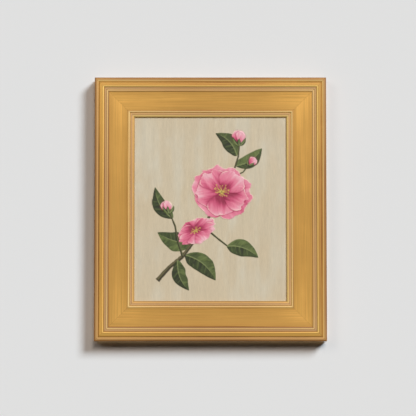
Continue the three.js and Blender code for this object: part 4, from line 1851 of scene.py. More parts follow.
@dataclass(frozen=True)
class Leaf:
    """A pointed oval leaf with a middle rib and side veins.

    At s along its rib its half width is W sin(pi s^0.8)^0.85. The half on the side of `lit` is the lighter
    one, and `light` makes the whole leaf lighter.
    """

    base: Pair
    tip: Pair
    half_width: float
    bow: float
    lit: int
    light: float = 0.0
    veins: float = 8.5

    def paint(self, film: PaintFilm) -> None:
        """Lays the leaf on a film.

        Args:
            film: The film.
        """
        base, axis, grain = self.base, Axis(self.base, self.tip, self.bow), film.grain
        part = axis.window(film, axis.length * 0.6 + self.half_width)
        x, z = film.x[part] - base[0], film.z[part] - base[1]
        s, t = axis.along_and_across(film, part)
        inside = np.clip(s, 0, 1)
        wavy = 0.9 + 0.2 * grain.at(s * 6 + base[0], np.sign(t) * 3 + base[1])
        half = self.half_width * np.sin(np.pi * inside**0.8) ** 0.85 * wavy
        mask = smooth_step(half - np.abs(t), -0.45, 0.6) * (s > 0) * (s < 1)
        side = smooth_step(t * self.lit, -0.8, 1.2)

        vein_phase = s * self.veins - np.abs(t) / self.half_width * 1.1
        drag = grain.layered(vein_phase * 2.6 + 11, np.abs(t) / 7 + side * 9)
        patch = grain.at(x / 11 + base[1], z / 11)
        lift = self.light + 0.14 + 0.42 * side + 0.7 * (drag - 0.5) + 0.35 * (patch - 0.5)
        dark_edge = smooth_step(np.abs(t), half - 2.2, half) * (1 - 0.6 * side)
        rib = smooth_step(0.95 - 0.5 * inside - np.abs(t), -0.35, 0.4) * smooth_step(1 - s, 0.03, 0.3)
        fork = np.abs(vein_phase - np.round(vein_phase)) * axis.length / self.veins
        veins = smooth_step(0.75 - fork, -0.3, 0.5) * smooth_step(half - np.abs(t), 0.5, 4.0)
        colour = blended(
            Paint.LEAF_DARK,
            (smooth_step(lift, -0.1, 0.35), Paint.LEAF),
            (smooth_step(lift, 0.3, 0.85), Paint.LEAF_LIGHT),
            (0.6 * dark_edge, Paint.LEAF_DARK),
            (0.3 * veins * smooth_step(drag, 0.3, 0.6), Paint.VEIN),
            (0.8 * rib, Paint.VEIN),
        )
        film.lay(part, mask, colour, 0.1 + 0.22 * drag + 0.1 * rib, 1.0)


@dataclass(frozen=True)
class Petal:
    """One petal of a blossom, drawn in the blossom's own plane.

    At s from the heart to the rim its half width is W sin(pi s^1.5)^0.6, and the rim is cut in and out by
    noise round it. The colour runs from deep rose at the heart through pink to a pale rim, in streaks.
    """

    turn: float
    length: float
    half_width: float
    notch: float = 0.06
    light: float = 0.0
    bend: float = 0.0


@dataclass(frozen=True)
class Blossom:
    """A blossom of simple petals, tilted away from the viewer.

    A place goes into its plane by a turn of `lean` and a stretch of 1 / squash in the direction it leans to.
    A bud has no stamens.
    """

    centre: Pair
    petals: tuple[Petal, ...]
    lean: float = 0.0
    squash: float = 1.0
    heart: float = 2.0
    stamens: int = 0
    heart_shift: float = 0.0

    def plane(self, film: PaintFilm, part: tuple[slice, slice]) -> tuple[Array, Array]:
        """Brings places of a film into the blossom's plane.

        Args:
            film: The film.
            part: Its rows and columns.

        Returns:
            Their distances from the heart along both of the plane's directions.
        """
        x, z = film.x[part] - self.centre[0], film.z[part] - self.centre[1]
        c, s = math.cos(self.lean), math.sin(self.lean)
        return c * x + s * z, (c * z - s * x) / self.squash

    def paint_petal(self, film: PaintFilm, petal: Petal) -> None:
        """Lays one petal over the film, with a soft dark line round it over what lies below.

        Args:
            film: The film.
            petal: The petal.
        """
        grain, part = film.grain, film.window(*self.centre, petal.length * 1.15)
        u, v = self.plane(film, part)
        c, s_turn = math.cos(petal.turn), math.sin(petal.turn)
        along = (c * u + s_turn * v) / petal.length
        across = (c * v - s_turn * u) / petal.half_width - petal.bend * along**2
        seed = petal.turn * 5 + petal.length
        rim = petal.notch * (grain.layered(across * 2.6 + seed, seed) - 0.5) * 3.2
        rim += petal.notch * 0.9 * np.exp(-((across / 0.22) ** 2))
        s = along + rim * smooth_step(along, 0.4, 0.9)
        held = np.clip(s, 0, 1)
        wavy = 0.94 + 0.12 * grain.at(s * 5 + seed, np.sign(across) * 4)
        half = np.sin(np.pi * held**1.5) ** 0.6 * wavy
        gap = np.minimum((half - np.abs(across)) * petal.half_width, (1 - s) * petal.length)
        gap = np.where(s > 0, gap, -9.0)
        mask = smooth_step(gap, -0.45, 0.6)

        shadow = smooth_step(gap, -3.4, 0.4) * (1 - mask) * smooth_step(film.body[part], 0.3, 0.9)
        film.colour[part] = blended(film.colour[part], (0.42 * shadow, Paint.ROSE_DEEP))

        streak = grain.layered(across * 5.5 + seed, held * 1.7 + seed)
        fold = grain.at(across * 1.6 + seed * 2, held * 0.8)
        lift = petal.light + 1.25 * held - 0.35 + 0.62 * (streak - 0.5) + 0.75 * (fold - 0.5)
        touched = grain.at(across * 3.4 + seed * 3, held * 3.0)
        lip = smooth_step(2.6 - gap, 0.2, 1.6) * smooth_step(touched, 0.3, 0.6) * smooth_step(s, 0.45, 0.75)
        ridge = smooth_step(np.abs(across - 0.25 * (fold - 0.5)), 0.07, 0.0)
        ridge = ridge * smooth_step(0.85 - held, 0, 0.4)
        colour = blended(
            Paint.ROSE_DEEP,
            (smooth_step(lift, -0.15, 0.3), Paint.ROSE),
            (smooth_step(lift, 0.15, 0.6), Paint.PINK),
            (smooth_step(lift, 0.55, 1.05), Paint.PALE_PINK),
            (0.7 * lip, Paint.CREAM),
            (0.4 * ridge, Paint.ROSE),
        )
        film.lay(part, mask, colour, 0.12 + 0.3 * streak + 0.28 * lip, 1.0)

    def paint_heart(self, film: PaintFilm) -> None:
        """Lays the green heart, the stamens that stand round it and their anthers.

        Args:
            film: The film.
        """
        grain, random = film.grain, film.random
        lean = np.array([-math.sin(self.lean), math.cos(self.lean)])
        middle = np.array(self.centre) + lean * self.heart_shift
        part = film.window(*middle, self.heart * 1.6)
        u, v = self.plane(film, part)
        v = v - self.heart_shift / self.squash
        gap = self.heart - np.hypot(u, v) * (0.85 + 0.3 * grain.at(u / 2, v / 2))
        glow = blended(Paint.ROSE_DEEP, (smooth_step(gap, 0, self.heart), Paint.HEART))
        film.lay(part, smooth_step(gap, -0.8, 1.6) * 0.85, glow, 0.12, 1.0)
        turns = np.linspace(0, 2 * np.pi, self.stamens, endpoint=False)
        turns = turns + random.uniform(-0.2, 0.2, self.stamens)
        reach = self.heart * random.uniform(1.1, 2.1, self.stamens)
        c, s = math.cos(self.lean), math.sin(self.lean)
        for turn, far in zip(turns, reach):
            flat = np.array([math.cos(turn) * far, math.sin(turn) * far * self.squash])
            off = np.array([c * flat[0] - s * flat[1], s * flat[0] + c * flat[1]])
            end = middle + off + lean * self.heart * 0.25
            stamen = Axis(tuple(middle + (end - middle) * 0.15), tuple(end), random.uniform(-0.12, 0.12))
            Stroke(stamen, 0.95, Paint.STAMEN, Paint.ANTHER, 0.2, 0.14).paint(film)
            dab = random.uniform(-0.5, 0.5, 2)
            anther = Axis(tuple(end - dab), tuple(end + dab + 0.4), 0.0)
            Stroke(anther, 2.3, Paint.STAMEN, Paint.ANTHER, 0.2, 0.3).paint(film)

    def paint(self, film: PaintFilm) -> None:
        """Lays the petals in order, then the heart, on a film.

        Args:
            film: The film.
        """
        for petal in self.petals:
            self.paint_petal(film, petal)
        if self.stamens:
            self.paint_heart(film)


@dataclass(frozen=True)
class Twig:
    """A branch or a stalk as strokes from place to place, each as thick as its number says."""

    places: tuple[Pair, ...]
    widths: tuple[float, ...]
    green: float = 0.0

    def paint(self, film: PaintFilm) -> None:
        """Lays a dark stroke and a lighter one on its upper side for every stretch.

        Args:
            film: The film.
        """
        green = np.array(self.green)
        dark = blended(Paint.BARK_DARK, (green, Paint.LEAF_DARK))
        light = blended(Paint.BARK, (green, Paint.LEAF))
        stretches = zip(self.places[:-1], self.places[1:], self.widths[:-1], self.widths[1:])
        for start, end, wide, thin in stretches:
            taper = 1 - thin / wide
            Stroke(Axis(start, end, 0.0), wide, light, dark, taper, 0.2).paint(film)
            first, last = ((x + 0.12 * wide, z + 0.22 * wide) for x, z in (start, end))
            gleam = Stroke(Axis(first, last, 0.01), 0.3 * wide, Paint.BARK_LIGHT, light, taper, 0.1, 0.75)
            gleam.paint(film)


class Artwork:
    """A flowering branch on a pale ground, in oil, made up for this picture."""

    def ground(self, film: PaintFilm) -> None:
        """Brushes the ground in upright drags of slightly different greys and yellows.

        Args:
            film: The film.
        """
        x, z, grain = film.x, film.z, film.grain
        wander = 3 * grain.at(x / 60, z / 60)
        drag = grain.layered(x / 2.6 + wander, z / 42)
        broad = grain.layered(x / 17 + 3, z / 60 + wander * 0.2)
        cloud = grain.layered(x / 70 + 11, z / 70)
        colour = blended(
            Paint.GROUND_WARM, (1.1 * cloud - 0.15, Paint.GROUND), (1.6 * (broad - 0.45), Paint.GROUND_COOL)
        )
        film.colour[:] = colour * (0.972 + 0.056 * drag + 0.024 * broad)[..., None]
        film.thickness[:] = film.BASE + 0.05 * drag + 0.03 * broad
        film.body[:] = 0.25 + 0.3 * smooth_step(broad, 0.4, 0.7)

    def branch(self) -> tuple[Twig | Leaf, ...]:
        """Lists the branch's pieces in the order they are painted.

        Returns:
            The leaves behind, the branch with its side shoots and leaf stalks, and the leaves before it.
        """
        return (
            Leaf((-26, -52), (-84, -36), 15.0, 0.10, 1, 0.05),
            Leaf((-40, -72), (8, -112), 15.5, 0.12, 1, 0.0),
            Leaf((40, 70), (82, 98), 12.0, -0.12, 1, 0.15),
            Leaf((42, 86), (8, 122), 12.5, -0.14, -1, 0.0),
            Leaf((-60, -14), (-88, 36), 11.5, 0.12, -1, -0.05),
            Twig(
                ((-84, -112), (-66, -92), (-44, -74), (-26, -50), (-12, -26), (4, -2), (20, 26)),
                (7.0, 6.4, 5.8, 5.2, 4.6, 4.2, 3.6),
            ),
            Twig(((18, 20), (34, 52), (44, 84), (46, 104)), (3.6, 3.0, 2.6, 2.2), 0.4),
            Twig(((-44, -74), (-52, -50), (-56, -26), (-66, -2)), (3.8, 3.2, 2.6, 2.2), 0.4),
            Twig(((-12, -26), (12, -46), (30, -60)), (3.4, 2.8, 2.2), 0.5),
            Twig(((34, 52), (52, 60), (62, 74)), (2.4, 2.0, 1.8), 0.7),
            Leaf((26, -58), (76, -76), 13.0, 0.12, 1, 0.12),
            Leaf((-52, -80), (-34, -128), 11.5, -0.12, 1, -0.08),
        )

    def blossoms(self) -> tuple[Blossom, ...]:
        """Lists the blossoms in the order they are painted.

        Returns:
            The buds, the half-open blossom and the open one.
        """
        fifth = 2 * math.pi / 5
        behind = tuple(
            Petal(0.55 + fifth * k, 50, 27, 0.07, light)
            for k, light in enumerate((-0.08, 0.1, 0.0, -0.16, -0.12))
        )
        front = tuple(
            Petal(1.2 + fifth * k, 43, 23, 0.08, light)
            for k, light in ((2, -0.1), (3, -0.06), (4, 0.1), (1, 0.02), (0, 0.12))
        )
        side = (
            Petal(1.57, 34, 20, 0.08, -0.2),
            Petal(2.5, 33, 17, 0.08, -0.05),
            Petal(0.6, 34, 17, 0.08, 0.0),
            Petal(3.3, 31, 15, 0.08, 0.05),
            Petal(-0.2, 31, 15, 0.08, 0.1),
            Petal(4.35, 29, 15, 0.07, 0.12, 0.3),
            Petal(5.15, 30, 16, 0.07, 0.2, -0.3),
        )
        return (
            Blossom((46, 106), (Petal(1.75, 21, 9.5, 0.03, 0.15), Petal(1.35, 20, 7.5, 0.03, 0.4, 0.2))),
            Blossom((61, 72), (Petal(0.75, 15, 7.0, 0.03, 0.3),)),
            Blossom((-67, -4), (Petal(1.95, 19, 8.5, 0.03, 0.1), Petal(1.6, 18, 6.5, 0.03, 0.4, 0.2))),
            Blossom((-22, -36), side, 0.45, 0.62, 5.0, 9, 3.0),
            Blossom((18, 28), behind + front, -0.35, 0.86, 7.0, 17),
        )

    def sepals(self) -> tuple[Leaf, ...]:
        """Lists the small green leaves that hold the buds.

        Returns:
            The leaves.
        """
        return (
            Leaf((45, 102), (36, 116), 2.8, 0.12, 1, 0.2),
            Leaf((46, 102), (56, 115), 2.8, -0.12, 1, 0.2),
            Leaf((46, 102), (46, 114), 3.0, 0.05, -1, 0.1),
            Leaf((60, 71), (59, 81), 2.2, 0.1, 1, 0.2),
            Leaf((61, 71), (70, 75), 2.2, -0.1, 1, 0.2),
            Leaf((-66, -6), (-76, 6), 2.6, 0.12, 1, 0.2),
            Leaf((-66, -6), (-58, 7), 2.6, -0.12, 1, 0.2),
            Leaf((-66, -6), (-68, 6), 2.8, 0.05, -1, 0.1),
        )

    def painted(self, film: PaintFilm) -> PaintFilm:
        """Paints the whole picture.

        Args:
            film: A film without colour.

        Returns:
            The film.
        """
        self.ground(film)
        for piece in (*self.branch(), *self.blossoms(), *self.sepals()):
            piece.paint(film)
        return film


@dataclass
class PaintedCanvas:
    """The oil paint on the linen's front, as one closed film that follows its strokes.

    Attributes:
        margin: How far it ends within the canvas's edge, in millimetres.
        fine_half: Half the width and height of its finely spaced part.
        fine: The spacing there.
        wide: The spacing round it.
        lift: How far it lies over the linen.
        seed: Sets the noise and the random draws.
    """

    margin: float = 1.0
    fine_half: Pair = (92.0, 134.0)
    fine: float = 0.8
    wide: float = 2.0
    lift: float = 0.02
    seed: int = 7

    def shell(self) -> Shell:
        """Makes the film: its strokes in front, a narrow edge all round, and one flat face behind.

        Returns:
            The closed surface, with the linear colour as `paint` and the paint's body.
        """
        half, middle, front, _ = Linen().measured()
        inner = tuple(side - self.margin for side in half)
        film = Artwork().painted(PaintFilm(inner, self.fine_half, self.fine, self.wide, self.seed))
        bottom = front - self.lift
        surface = np.stack([film.x, bottom - film.limited(), film.z], axis=-1)
        paint = np.concatenate([to_linear(film.colour), np.ones((*film.x.shape, 1))], axis=-1)
        uv = np.stack([film.x, film.z], axis=-1) * MM
        shell = Shell.from_grid(surface * MM, uv, values={"paint": paint, "body": film.body})
        shell.faces = [shell.faces[0][:, ::-1]]
        shell.uvs = [shell.uvs[0][:, ::-1]]
        ring = ring_of(*film.x.shape)
        below = len(shell.points) + np.arange(len(ring))
        low = shell.points[ring].copy()
        low[:, 1] = bottom * MM
        shell.points = np.concatenate([shell.points, low])
        shell.values = {name: np.concatenate([array, array[ring]]) for name, array in shell.values.items()}
        edge = np.stack([ring, below, np.roll(below, -1), np.roll(ring, -1)], axis=1)
        shell.faces.append(edge)
        shell.uvs.append(shell.points[edge][..., ::2])
        shell.with_face(below[::-1], low[::-1][:, ::2])
        return shell.facing_out().moved(z=middle * MM)

    def build(self) -> None:
        """Makes the film, which rides with the canvas."""
        film = self.shell().build("oil_painting")
        settle(film, OilPaintFinish().material(), "painted_linen")


# ---- Stretcher bars, keys and staples -------------------------------------------------------------------


def merged_copy(node: str, name: str, weld: float = 0.002, flat_within: float = 0.5) -> bpy.types.Object:
    """Copies a CAD node as one welded surface with whole faces in place of its loose triangles.

    Args:
        node: The CAD node's name.
        name: The copy's name.
        weld: How near vertices are that become one, in millimetres.
        flat_within: Most that two joined triangles may turn, in degrees.

    Returns:
        The copy, at the origin, linked to the scene.
    """
    source = bpy.data.objects[node]
    welded = bmesh.new()
    welded.from_mesh(source.data)
    welded.transform(source.matrix_world)
    bmesh.ops.remove_doubles(welded, verts=welded.verts, dist=weld * MM)
    bmesh.ops.dissolve_limit(
        welded, angle_limit=math.radians(flat_within), verts=welded.verts, edges=welded.edges
    )
    bmesh.ops.recalc_face_normals(welded, faces=welded.faces)
    mesh = bpy.data.meshes.new(name)
    welded.to_mesh(mesh)
    welded.free()
    return linked(name, mesh)


def eased(piece: bpy.types.Object, width: float, segments: int, sharp_from: float = 30.0) -> bpy.types.Object:
    """Rounds the edges that turn by more than an angle, as sanding or a press does.

    Args:
        piece: The object.
        width: Width of the rounding, in millimetres.
        segments: Faces across it.
        sharp_from: The least turn of an edge that is rounded, in degrees.

    Returns:
        The object.
    """
    bevel = piece.modifiers.new("eased_edges", "BEVEL")
    bevel.width, bevel.segments = width * MM, segments
    bevel.limit_method, bevel.angle_limit = "ANGLE", math.radians(sharp_from)
    bevel.use_clamp_overlap = bevel.harden_normals = True
    piece.data.polygons.foreach_set("use_smooth", np.full(len(piece.data.polygons), True))
    return piece


class Corner(Enum):
    """The four corners, by the names that the pieces have."""

    TOP_LEFT = "top_left"
    TOP_RIGHT = "top_right"
    BOTTOM_LEFT = "bottom_left"
    BOTTOM_RIGHT = "bottom_right"


BUTTONS = (*(corner.value for corner in Corner), "left", "right")


@dataclass
class Stretcher:
    """The four mitred pine bars with their tongues and slots, and the eight beech keys in their corners."""

    bar_easing: float = 0.35
    key_easing: float = 0.3
    segments: int = 2

    def build(self) -> list[bpy.types.Object]:
        """Makes the bars and the keys in place of the CAD ones.

        Returns:
            The bars.
        """
        bars = []
        for side in Side:
            node = f"stretcher_bar_{side.label}"
            pine = PINE.material(GrainAxis.UPRIGHT if side.upright else GrainAxis.ACROSS, dusty=True)
            bar = eased(merged_copy(node, f"pine_bar_{side.label}"), self.bar_easing, self.segments)
            bars.append(settle(bar, pine, "stretcher_pine", node))
        for corner in Corner:
            for bar_way, axis in (("horizontal", GrainAxis.UPRIGHT), ("vertical", GrainAxis.ACROSS)):
                label = f"{corner.value}_{bar_way}"
                node = f"canvas_key_{label}"
                key = eased(merged_copy(node, f"beech_key_{label}"), self.key_easing, self.segments)
                settle(key, BEECH.material(axis), "key_beech", node)
        return bars


@dataclass
class Staple:
    """A flattened wire staple: a crown across the turnover and two legs in the bar.

    Attributes:
        rounding: How far its wire's edges are rounded.
        bend: The radius between the crown and a leg.
        dip: How far the crown's middle is pressed in.
        steps: How many points a leg has.
    """

    crown: float = 10.0
    thickness: float = 0.45
    width: float = 0.9
    rounding: float = 0.16
    leg: float = 5.5
    bend: float = 0.8
    dip: float = 0.06
    steps: int = 4

    def shell(self, back: float) -> Shell:
        """Makes a staple whose crown lies along x.

        Its path goes up a leg, round a quarter circle and along the crown, whose middle dips by
        dip (1 - (x / out)^2), and the other half mirrors that.

        Args:
            back: The y of its outer face.

        Returns:
            The closed surface.
        """
        out = self.crown / 2 - self.thickness / 2
        top = back - self.thickness / 2
        down = np.linspace(-self.leg, top - self.bend, self.steps)[:-1]
        left = np.stack([np.full(len(down), -out), down], axis=1)
        off = self.bend * (1 - np.stack([np.cos(QUARTER), np.sin(QUARTER)], axis=1))
        bend = np.array([-out, top]) + off * (1, -1)
        across = np.linspace(-out + self.bend, 0, self.steps + 1)[1:]
        crown = np.stack([across, top - self.dip * (1 - (across / out) ** 2)], axis=1)
        half = np.concatenate([left, bend, crown])
        path = np.concatenate([half, half[-2::-1] * (-1, 1)])
        return swept_strip(path, self.thickness, self.width, self.rounding)

    def build(self) -> None:
        """Makes a staple for each CAD one, where that one is."""
        for name in sorted(node.name for node in bpy.data.objects if node.name.startswith("staple_")):
            seat = Seat.of(name)
            shell = self.shell(seat.high[1])
            wide, _, tall = seat.high - seat.low
            if tall > wide:
                shell.turned_about_y(math.pi / 2)
            settle(shell.over(seat).build(f"wire_{name}"), WIRE.material(), "staple_wire", name)


# ---- Corner fasteners, turn buttons, hanger and pads ----------------------------------------------------


@dataclass
class CornerFastener:
    """A V-nail: a bent steel strip that is pressed into both rails across the mitre.

    The copy of the CAD strip has eased edges. Its outer face, whose vertices lie within `face_depth` of the
    outermost one, stands `proud` of the wood.
    """

    easing: float = 0.12
    proud: float = 0.35
    face_depth: float = 0.1

    def build(self) -> None:
        """Makes the fasteners in place of the CAD ones."""
        for corner in Corner:
            for place in ("outer", "inner"):
                label = f"{corner.value}_{place}"
                strip = merged_copy(f"v_nail_{label}", f"pressed_strip_{label}")
                flat = np.empty(len(strip.data.vertices) * 3, np.float32)
                strip.data.vertices.foreach_get("co", flat)
                places = flat.reshape(-1, 3)
                places[places[:, 1] > places[:, 1].max() - self.face_depth * MM, 1] += self.proud * MM
                strip.data.vertices.foreach_set("co", places.ravel())
                strip.data.update()
                settle(eased(strip, self.easing, 1), ZINC.material(), "zinc_steel", f"v_nail_{label}")


@dataclass
class TurnButton:
    """A pressed steel tab that turns on its screw and holds the stretched canvas in the rabbet.

    Round its screw it is drawn as rings: at angle a the outline's radius is where a ray from the hole meets
    the two arcs and the tangents between them, and the rings go from the hole's edge over one face, round
    the rim, and back over the other.

    Attributes:
        root: The radius of its end round the screw.
        tip: The radius of its other end.
        hole: The radius of the screw's hole.
        rim: How far its edge is rounded.
        rib: How high the pressed rib stands.
        rib_half: Half the rib's width.
        rib_slope: How wide its slopes are.
        sides: How many points go round it.
        drawn: How many points its two arcs have before they are spaced evenly.
        shares: Where its rings lie, from the hole's edge to the rim.
    """

    length: float = 34.0
    thickness: float = 1.0
    root: float = 6.0
    tip: float = 4.5
    hole: float = 2.0
    rim: float = 0.3
    rib: float = 0.35
    rib_half: float = 2.0
    rib_slope: float = 1.2
    sides: int = 96
    drawn: tuple[int, int] = (200, 120)
    shares: tuple[float, ...] = (0.0, 0.12, 0.3, 0.55, 0.8, 1.0)

    def outline(self) -> Array:
        """Draws the outline round its two arcs and two tangents.

        Returns:
            Even points along it, rows of (x, z).
        """
        reach = self.length - self.root - self.tip
        lean = math.asin((self.root - self.tip) / reach)
        wide = np.linspace(np.pi / 2 - lean, 3 * np.pi / 2 + lean, self.drawn[0])
        narrow = np.linspace(-np.pi / 2 + lean, np.pi / 2 - lean, self.drawn[1])
        first = np.stack([np.cos(wide), np.sin(wide)], axis=1) * self.root
        second = np.stack([np.cos(narrow), np.sin(narrow)], axis=1) * self.tip + (reach, 0)
        path = np.concatenate([first, second, first[:1]])
        run = run_along(path)
        return read_columns(np.linspace(0, run[-1], self.sides, endpoint=False), run, path)

    def shell(self) -> Shell:
        """Makes a tab that points along +x, with its hole at the origin and its middle plane at y = 0.

        Returns:
            The closed surface.
        """
        edge = self.outline()
        radius = np.linalg.norm(edge, axis=1, keepdims=True)
        half = self.thickness / 2
        inward = edge * (1 - self.rim / radius)
        shares = np.array(self.shares)[:, None, None]
        face = edge / radius * self.hole * (1 - shares) + inward * shares
        turn = np.linspace(0, np.pi, 6)[1:-1]
        rim = inward + (edge - inward) * np.sin(turn)[:, None, None]
        places = np.concatenate([face, rim, face[::-1]])
        flat = np.full(len(shares), half)
        depth = np.concatenate([flat, half * np.cos(turn), -flat])[:, None]
        x, z = places[..., 0], places[..., 1]
        pressed = smooth_step(self.rib_half - np.abs(z), 0, self.rib_slope)
        pressed = pressed * smooth_step(x, self.root + 1, self.root + 4)
        pressed = pressed * smooth_step(self.length - self.root - self.tip - x, -1, 3)
        points = np.stack([x, depth + self.rib * pressed, z], axis=-1) * MM
        return Shell.from_grid(points, closed=(True, True)).facing_out()

    def build(self) -> None:
        """Makes a tab for each CAD one, on the body that turns it."""
        for label in BUTTONS:
            screw, tab = Seat.of(f"turn_button_screw_{label}"), Seat.of(f"turn_button_{label}")
            x, _, z = tab.middle - screw.middle
            shell = self.shell().turned_about_y(math.atan2(-z, x)).over(screw).moved(y=tab.middle[1])
            button = shell.build(f"steel_tab_{label}")
            settle(button, ZINC.material(), "zinc_steel", f"turn_button_{label}", body=f"button_{label}")


@dataclass
class PanScrew:
    """A pan-head screw with a cross recess: a head of rings and sectors over a plain shank.

    The recess lies where |x| or |z| is less than half its width, and its depth falls off towards its ends.

    Attributes:
        head: The head's radius.
        rise: Its height.
        rim: The height of its edge.
        rings: The radii of the rings on it.
        flat: How far out from its middle it is flat.
        curve: The power with which it falls from there to its edge.
        shank: The shank's radius.
        point: How long the point is.
        slot: Half the recess's width.
        slot_reach: How far out it goes.
        slot_depth: How deep it is.
        sides: How many steps go round.
        turns: How far the first screw is turned, and how much further each next one.
    """

    head: float = 3.6
    rise: float = 1.6
    rim: float = 0.5
    rings: tuple[float, ...] = (0.25, 0.5, 0.75, 1.0, 1.3, 1.6, 1.9, 2.2, 2.6, 3.0, 3.3, 3.5)
    flat: float = 1.4
    curve: float = 2.2
    shank: float = 1.5
    point: float = 2.0
    slot: float = 0.55
    slot_reach: float = 2.0
    slot_depth: float = 0.9
    sides: int = 32
    turns: Pair = (0.4, 0.9)

    def shell(self, under: float, tip: float) -> Shell:
        """Makes a screw along y.

        Args:
            under: The y at which its head starts.
            tip: The y of its point.

        Returns:
            The closed surface.
        """
        radius = np.array([*self.rings, self.head, self.head])
        fall = (np.clip(radius - self.flat, 0, None) / (self.head - self.flat)) ** self.curve
        dome = self.rise - (self.rise - self.rim) * fall
        dome[-1] = 0.0
        angle = 2 * np.pi * np.arange(self.sides)[:, None] / self.sides
        bar = np.minimum(np.abs(np.cos(angle) * radius), np.abs(np.sin(angle) * radius))
        cross = smooth_step(self.slot - bar, -0.15, 0.15) * smooth_step(self.slot_reach - radius, -0.2, 0.5)
        head = under + dome - self.slot_depth * cross
        stem = np.broadcast_to([under, tip + self.point, tip + 0.9, tip], (self.sides, 4))
        radius = np.concatenate([radius, [self.shank, self.shank, self.shank / 2, 0.1]])
        hubs = (under + self.rise - self.slot_depth, tip)
        return turned_shell(radius, np.concatenate([head, stem], axis=1), self.sides, hubs)

    def build(self) -> None:
        """Makes a screw for each CAD one."""
        for index, label in enumerate(BUTTONS):
            node = f"turn_button_screw_{label}"
            seat = Seat.of(node)
            shell = self.shell(seat.high[1] - self.rise, seat.low[1])
            shell.turned_about_y(self.turns[0] + self.turns[1] * index).over(seat)
            settle(shell.build(f"cross_screw_{label}"), SCREW.material(), "screw_steel", node)


@dataclass
class SawtoothHanger:
    """The brassed strip with a row of notches along its lower edge, and the two nails that hold it.

    It is a grid of columns across and rows up. Its lower edge rises to the notch line and falls by turns, its
    depth steps from the tabs up to the bridge, and both faces join round the edges.

    Attributes:
        sheet: How thick the strip is.
        rise: How far its bridge stands off its tabs.
        jog: How long the step between them is.
        tooth: How deep a notch is.
        rows: Where its rows lie, from its lower to its upper edge.
        nail_radii: The radii of a nail from the top of its head to its point.
        nail_head: How far the first of them lie below the top.
    """

    length: float = 45.0
    width: float = 10.0
    sheet: float = 1.0
    rise: float = 1.4
    tab: float = 7.5
    jog: float = 1.5
    teeth: int = 9
    pitch: float = 2.8
    tooth: float = 1.6
    easing: float = 0.12
    rows: tuple[float, ...] = (0.0, 0.08, 0.35, 0.7, 0.94, 1.0)
    nail_radii: tuple[float, ...] = (0.5, 1.1, 1.6, 1.92, 2.0, 1.95, 0.7, 0.7, 0.08)
    nail_head: tuple[float, ...] = (0.0, 0.06, 0.18, 0.34, 0.5, 0.7, 0.7)
    nail_point: float = 1.5

    def columns(self) -> Array:
        """Places the columns at every tooth's corners, the jogs and even steps between them.

        Returns:
            The x of each column.
        """
        teeth = np.arange(-self.teeth, self.teeth + 1) * self.pitch / 2
        foot = self.length / 2 - self.tab
        jog = foot - self.jog * (1 - np.linspace(0, 1, 5))
        outer = np.linspace(foot, self.length / 2, 6)[1:]
        right = np.concatenate([[(teeth[-1] + jog[0]) / 2], jog, outer])
        return np.concatenate([-right[::-1], teeth, right])

    def shell(self, foot: float, low: float) -> Shell:
        """Makes the strip.

        Args:
            foot: The y of the tabs' back, on the frame.
            low: The z of the lower edge.

        Returns:
            The closed surface.
        """
        x = self.columns()
        place = np.arange(len(x)) - len(x) // 2
        notch = (np.abs(place) <= self.teeth) & ((place + self.teeth) % 2 == 1)
        bottom = low + self.tooth * notch
        lift = self.rise * smooth_step(self.length / 2 - self.tab - np.abs(x), 0, self.jog)
        rows = np.array(self.rows)[:, None]
        z = bottom + (low + self.width - bottom) * rows
        inset = np.where((rows == 0) | (rows == 1), self.easing, 0.0)
        front = foot + lift + inset
        back = (foot + lift + self.sheet - inset)[::-1]
        across = np.broadcast_to(x, z.shape)
        faces = [np.stack([across, y, up], axis=-1) for y, up in ((front, z), (back, z[::-1]))]
        points = np.concatenate(faces)
        shell = Shell.from_grid(points * MM, closed=(True, False))
        ring = np.arange(len(points)) * len(x)
        return shell.with_face(ring).with_face(ring[::-1] + len(x) - 1).facing_out()

    def build(self) -> None:
        """Makes the strip and its nails in place of the CAD ones."""
        seat = Seat.of("sawtooth_hanger")
        strip = self.shell(seat.low[1], seat.low[2]).build("notched_strip", smooth=False)
        settle(strip, BRASS.material(), "hanger_brass", "sawtooth_hanger")
        for label in ("left", "right"):
            seat = Seat.of(f"hanger_nail_{label}")
            top, tip = seat.high[1], seat.low[1]
            depth = np.concatenate([top - np.array(self.nail_head), [tip + self.nail_point, tip]])
            nail = turned_shell(np.array(self.nail_radii), depth, 24).over(seat).build(f"brass_nail_{label}")
            settle(nail, BRASS.material(), "hanger_brass", f"hanger_nail_{label}")


@dataclass
class WallPad:
    """A felt pad at a lower corner, which keeps the frame off the wall, with a rounded outer edge."""

    sides: int = 48
    edge: float = 0.7
    edge_steps: int = 5

    def build(self) -> None:
        """Makes both pads in place of the CAD ones."""
        turn = np.linspace(0, np.pi / 2, self.edge_steps)
        for label in ("left", "right"):
            seat = Seat.of(f"wall_bumper_{label}")
            radius, near, far = (seat.high[0] - seat.low[0]) / 2, seat.low[1], seat.high[1]
            round_edge = radius - self.edge * (1 - np.cos(turn))
            across = np.concatenate([[radius * 0.5, radius], round_edge, [radius * 0.6, radius * 0.2]])
            depth = np.concatenate([[near, near], far - self.edge * (1 - np.sin(turn)), [far, far]])
            pad = turned_shell(across, depth, self.sides).over(seat).build(f"felt_pad_{label}")
            settle(pad, FeltFinish().material(), "bumper_pad", f"wall_bumper_{label}")


# ---- Wall, light and camera -----------------------------------------------------------------------------


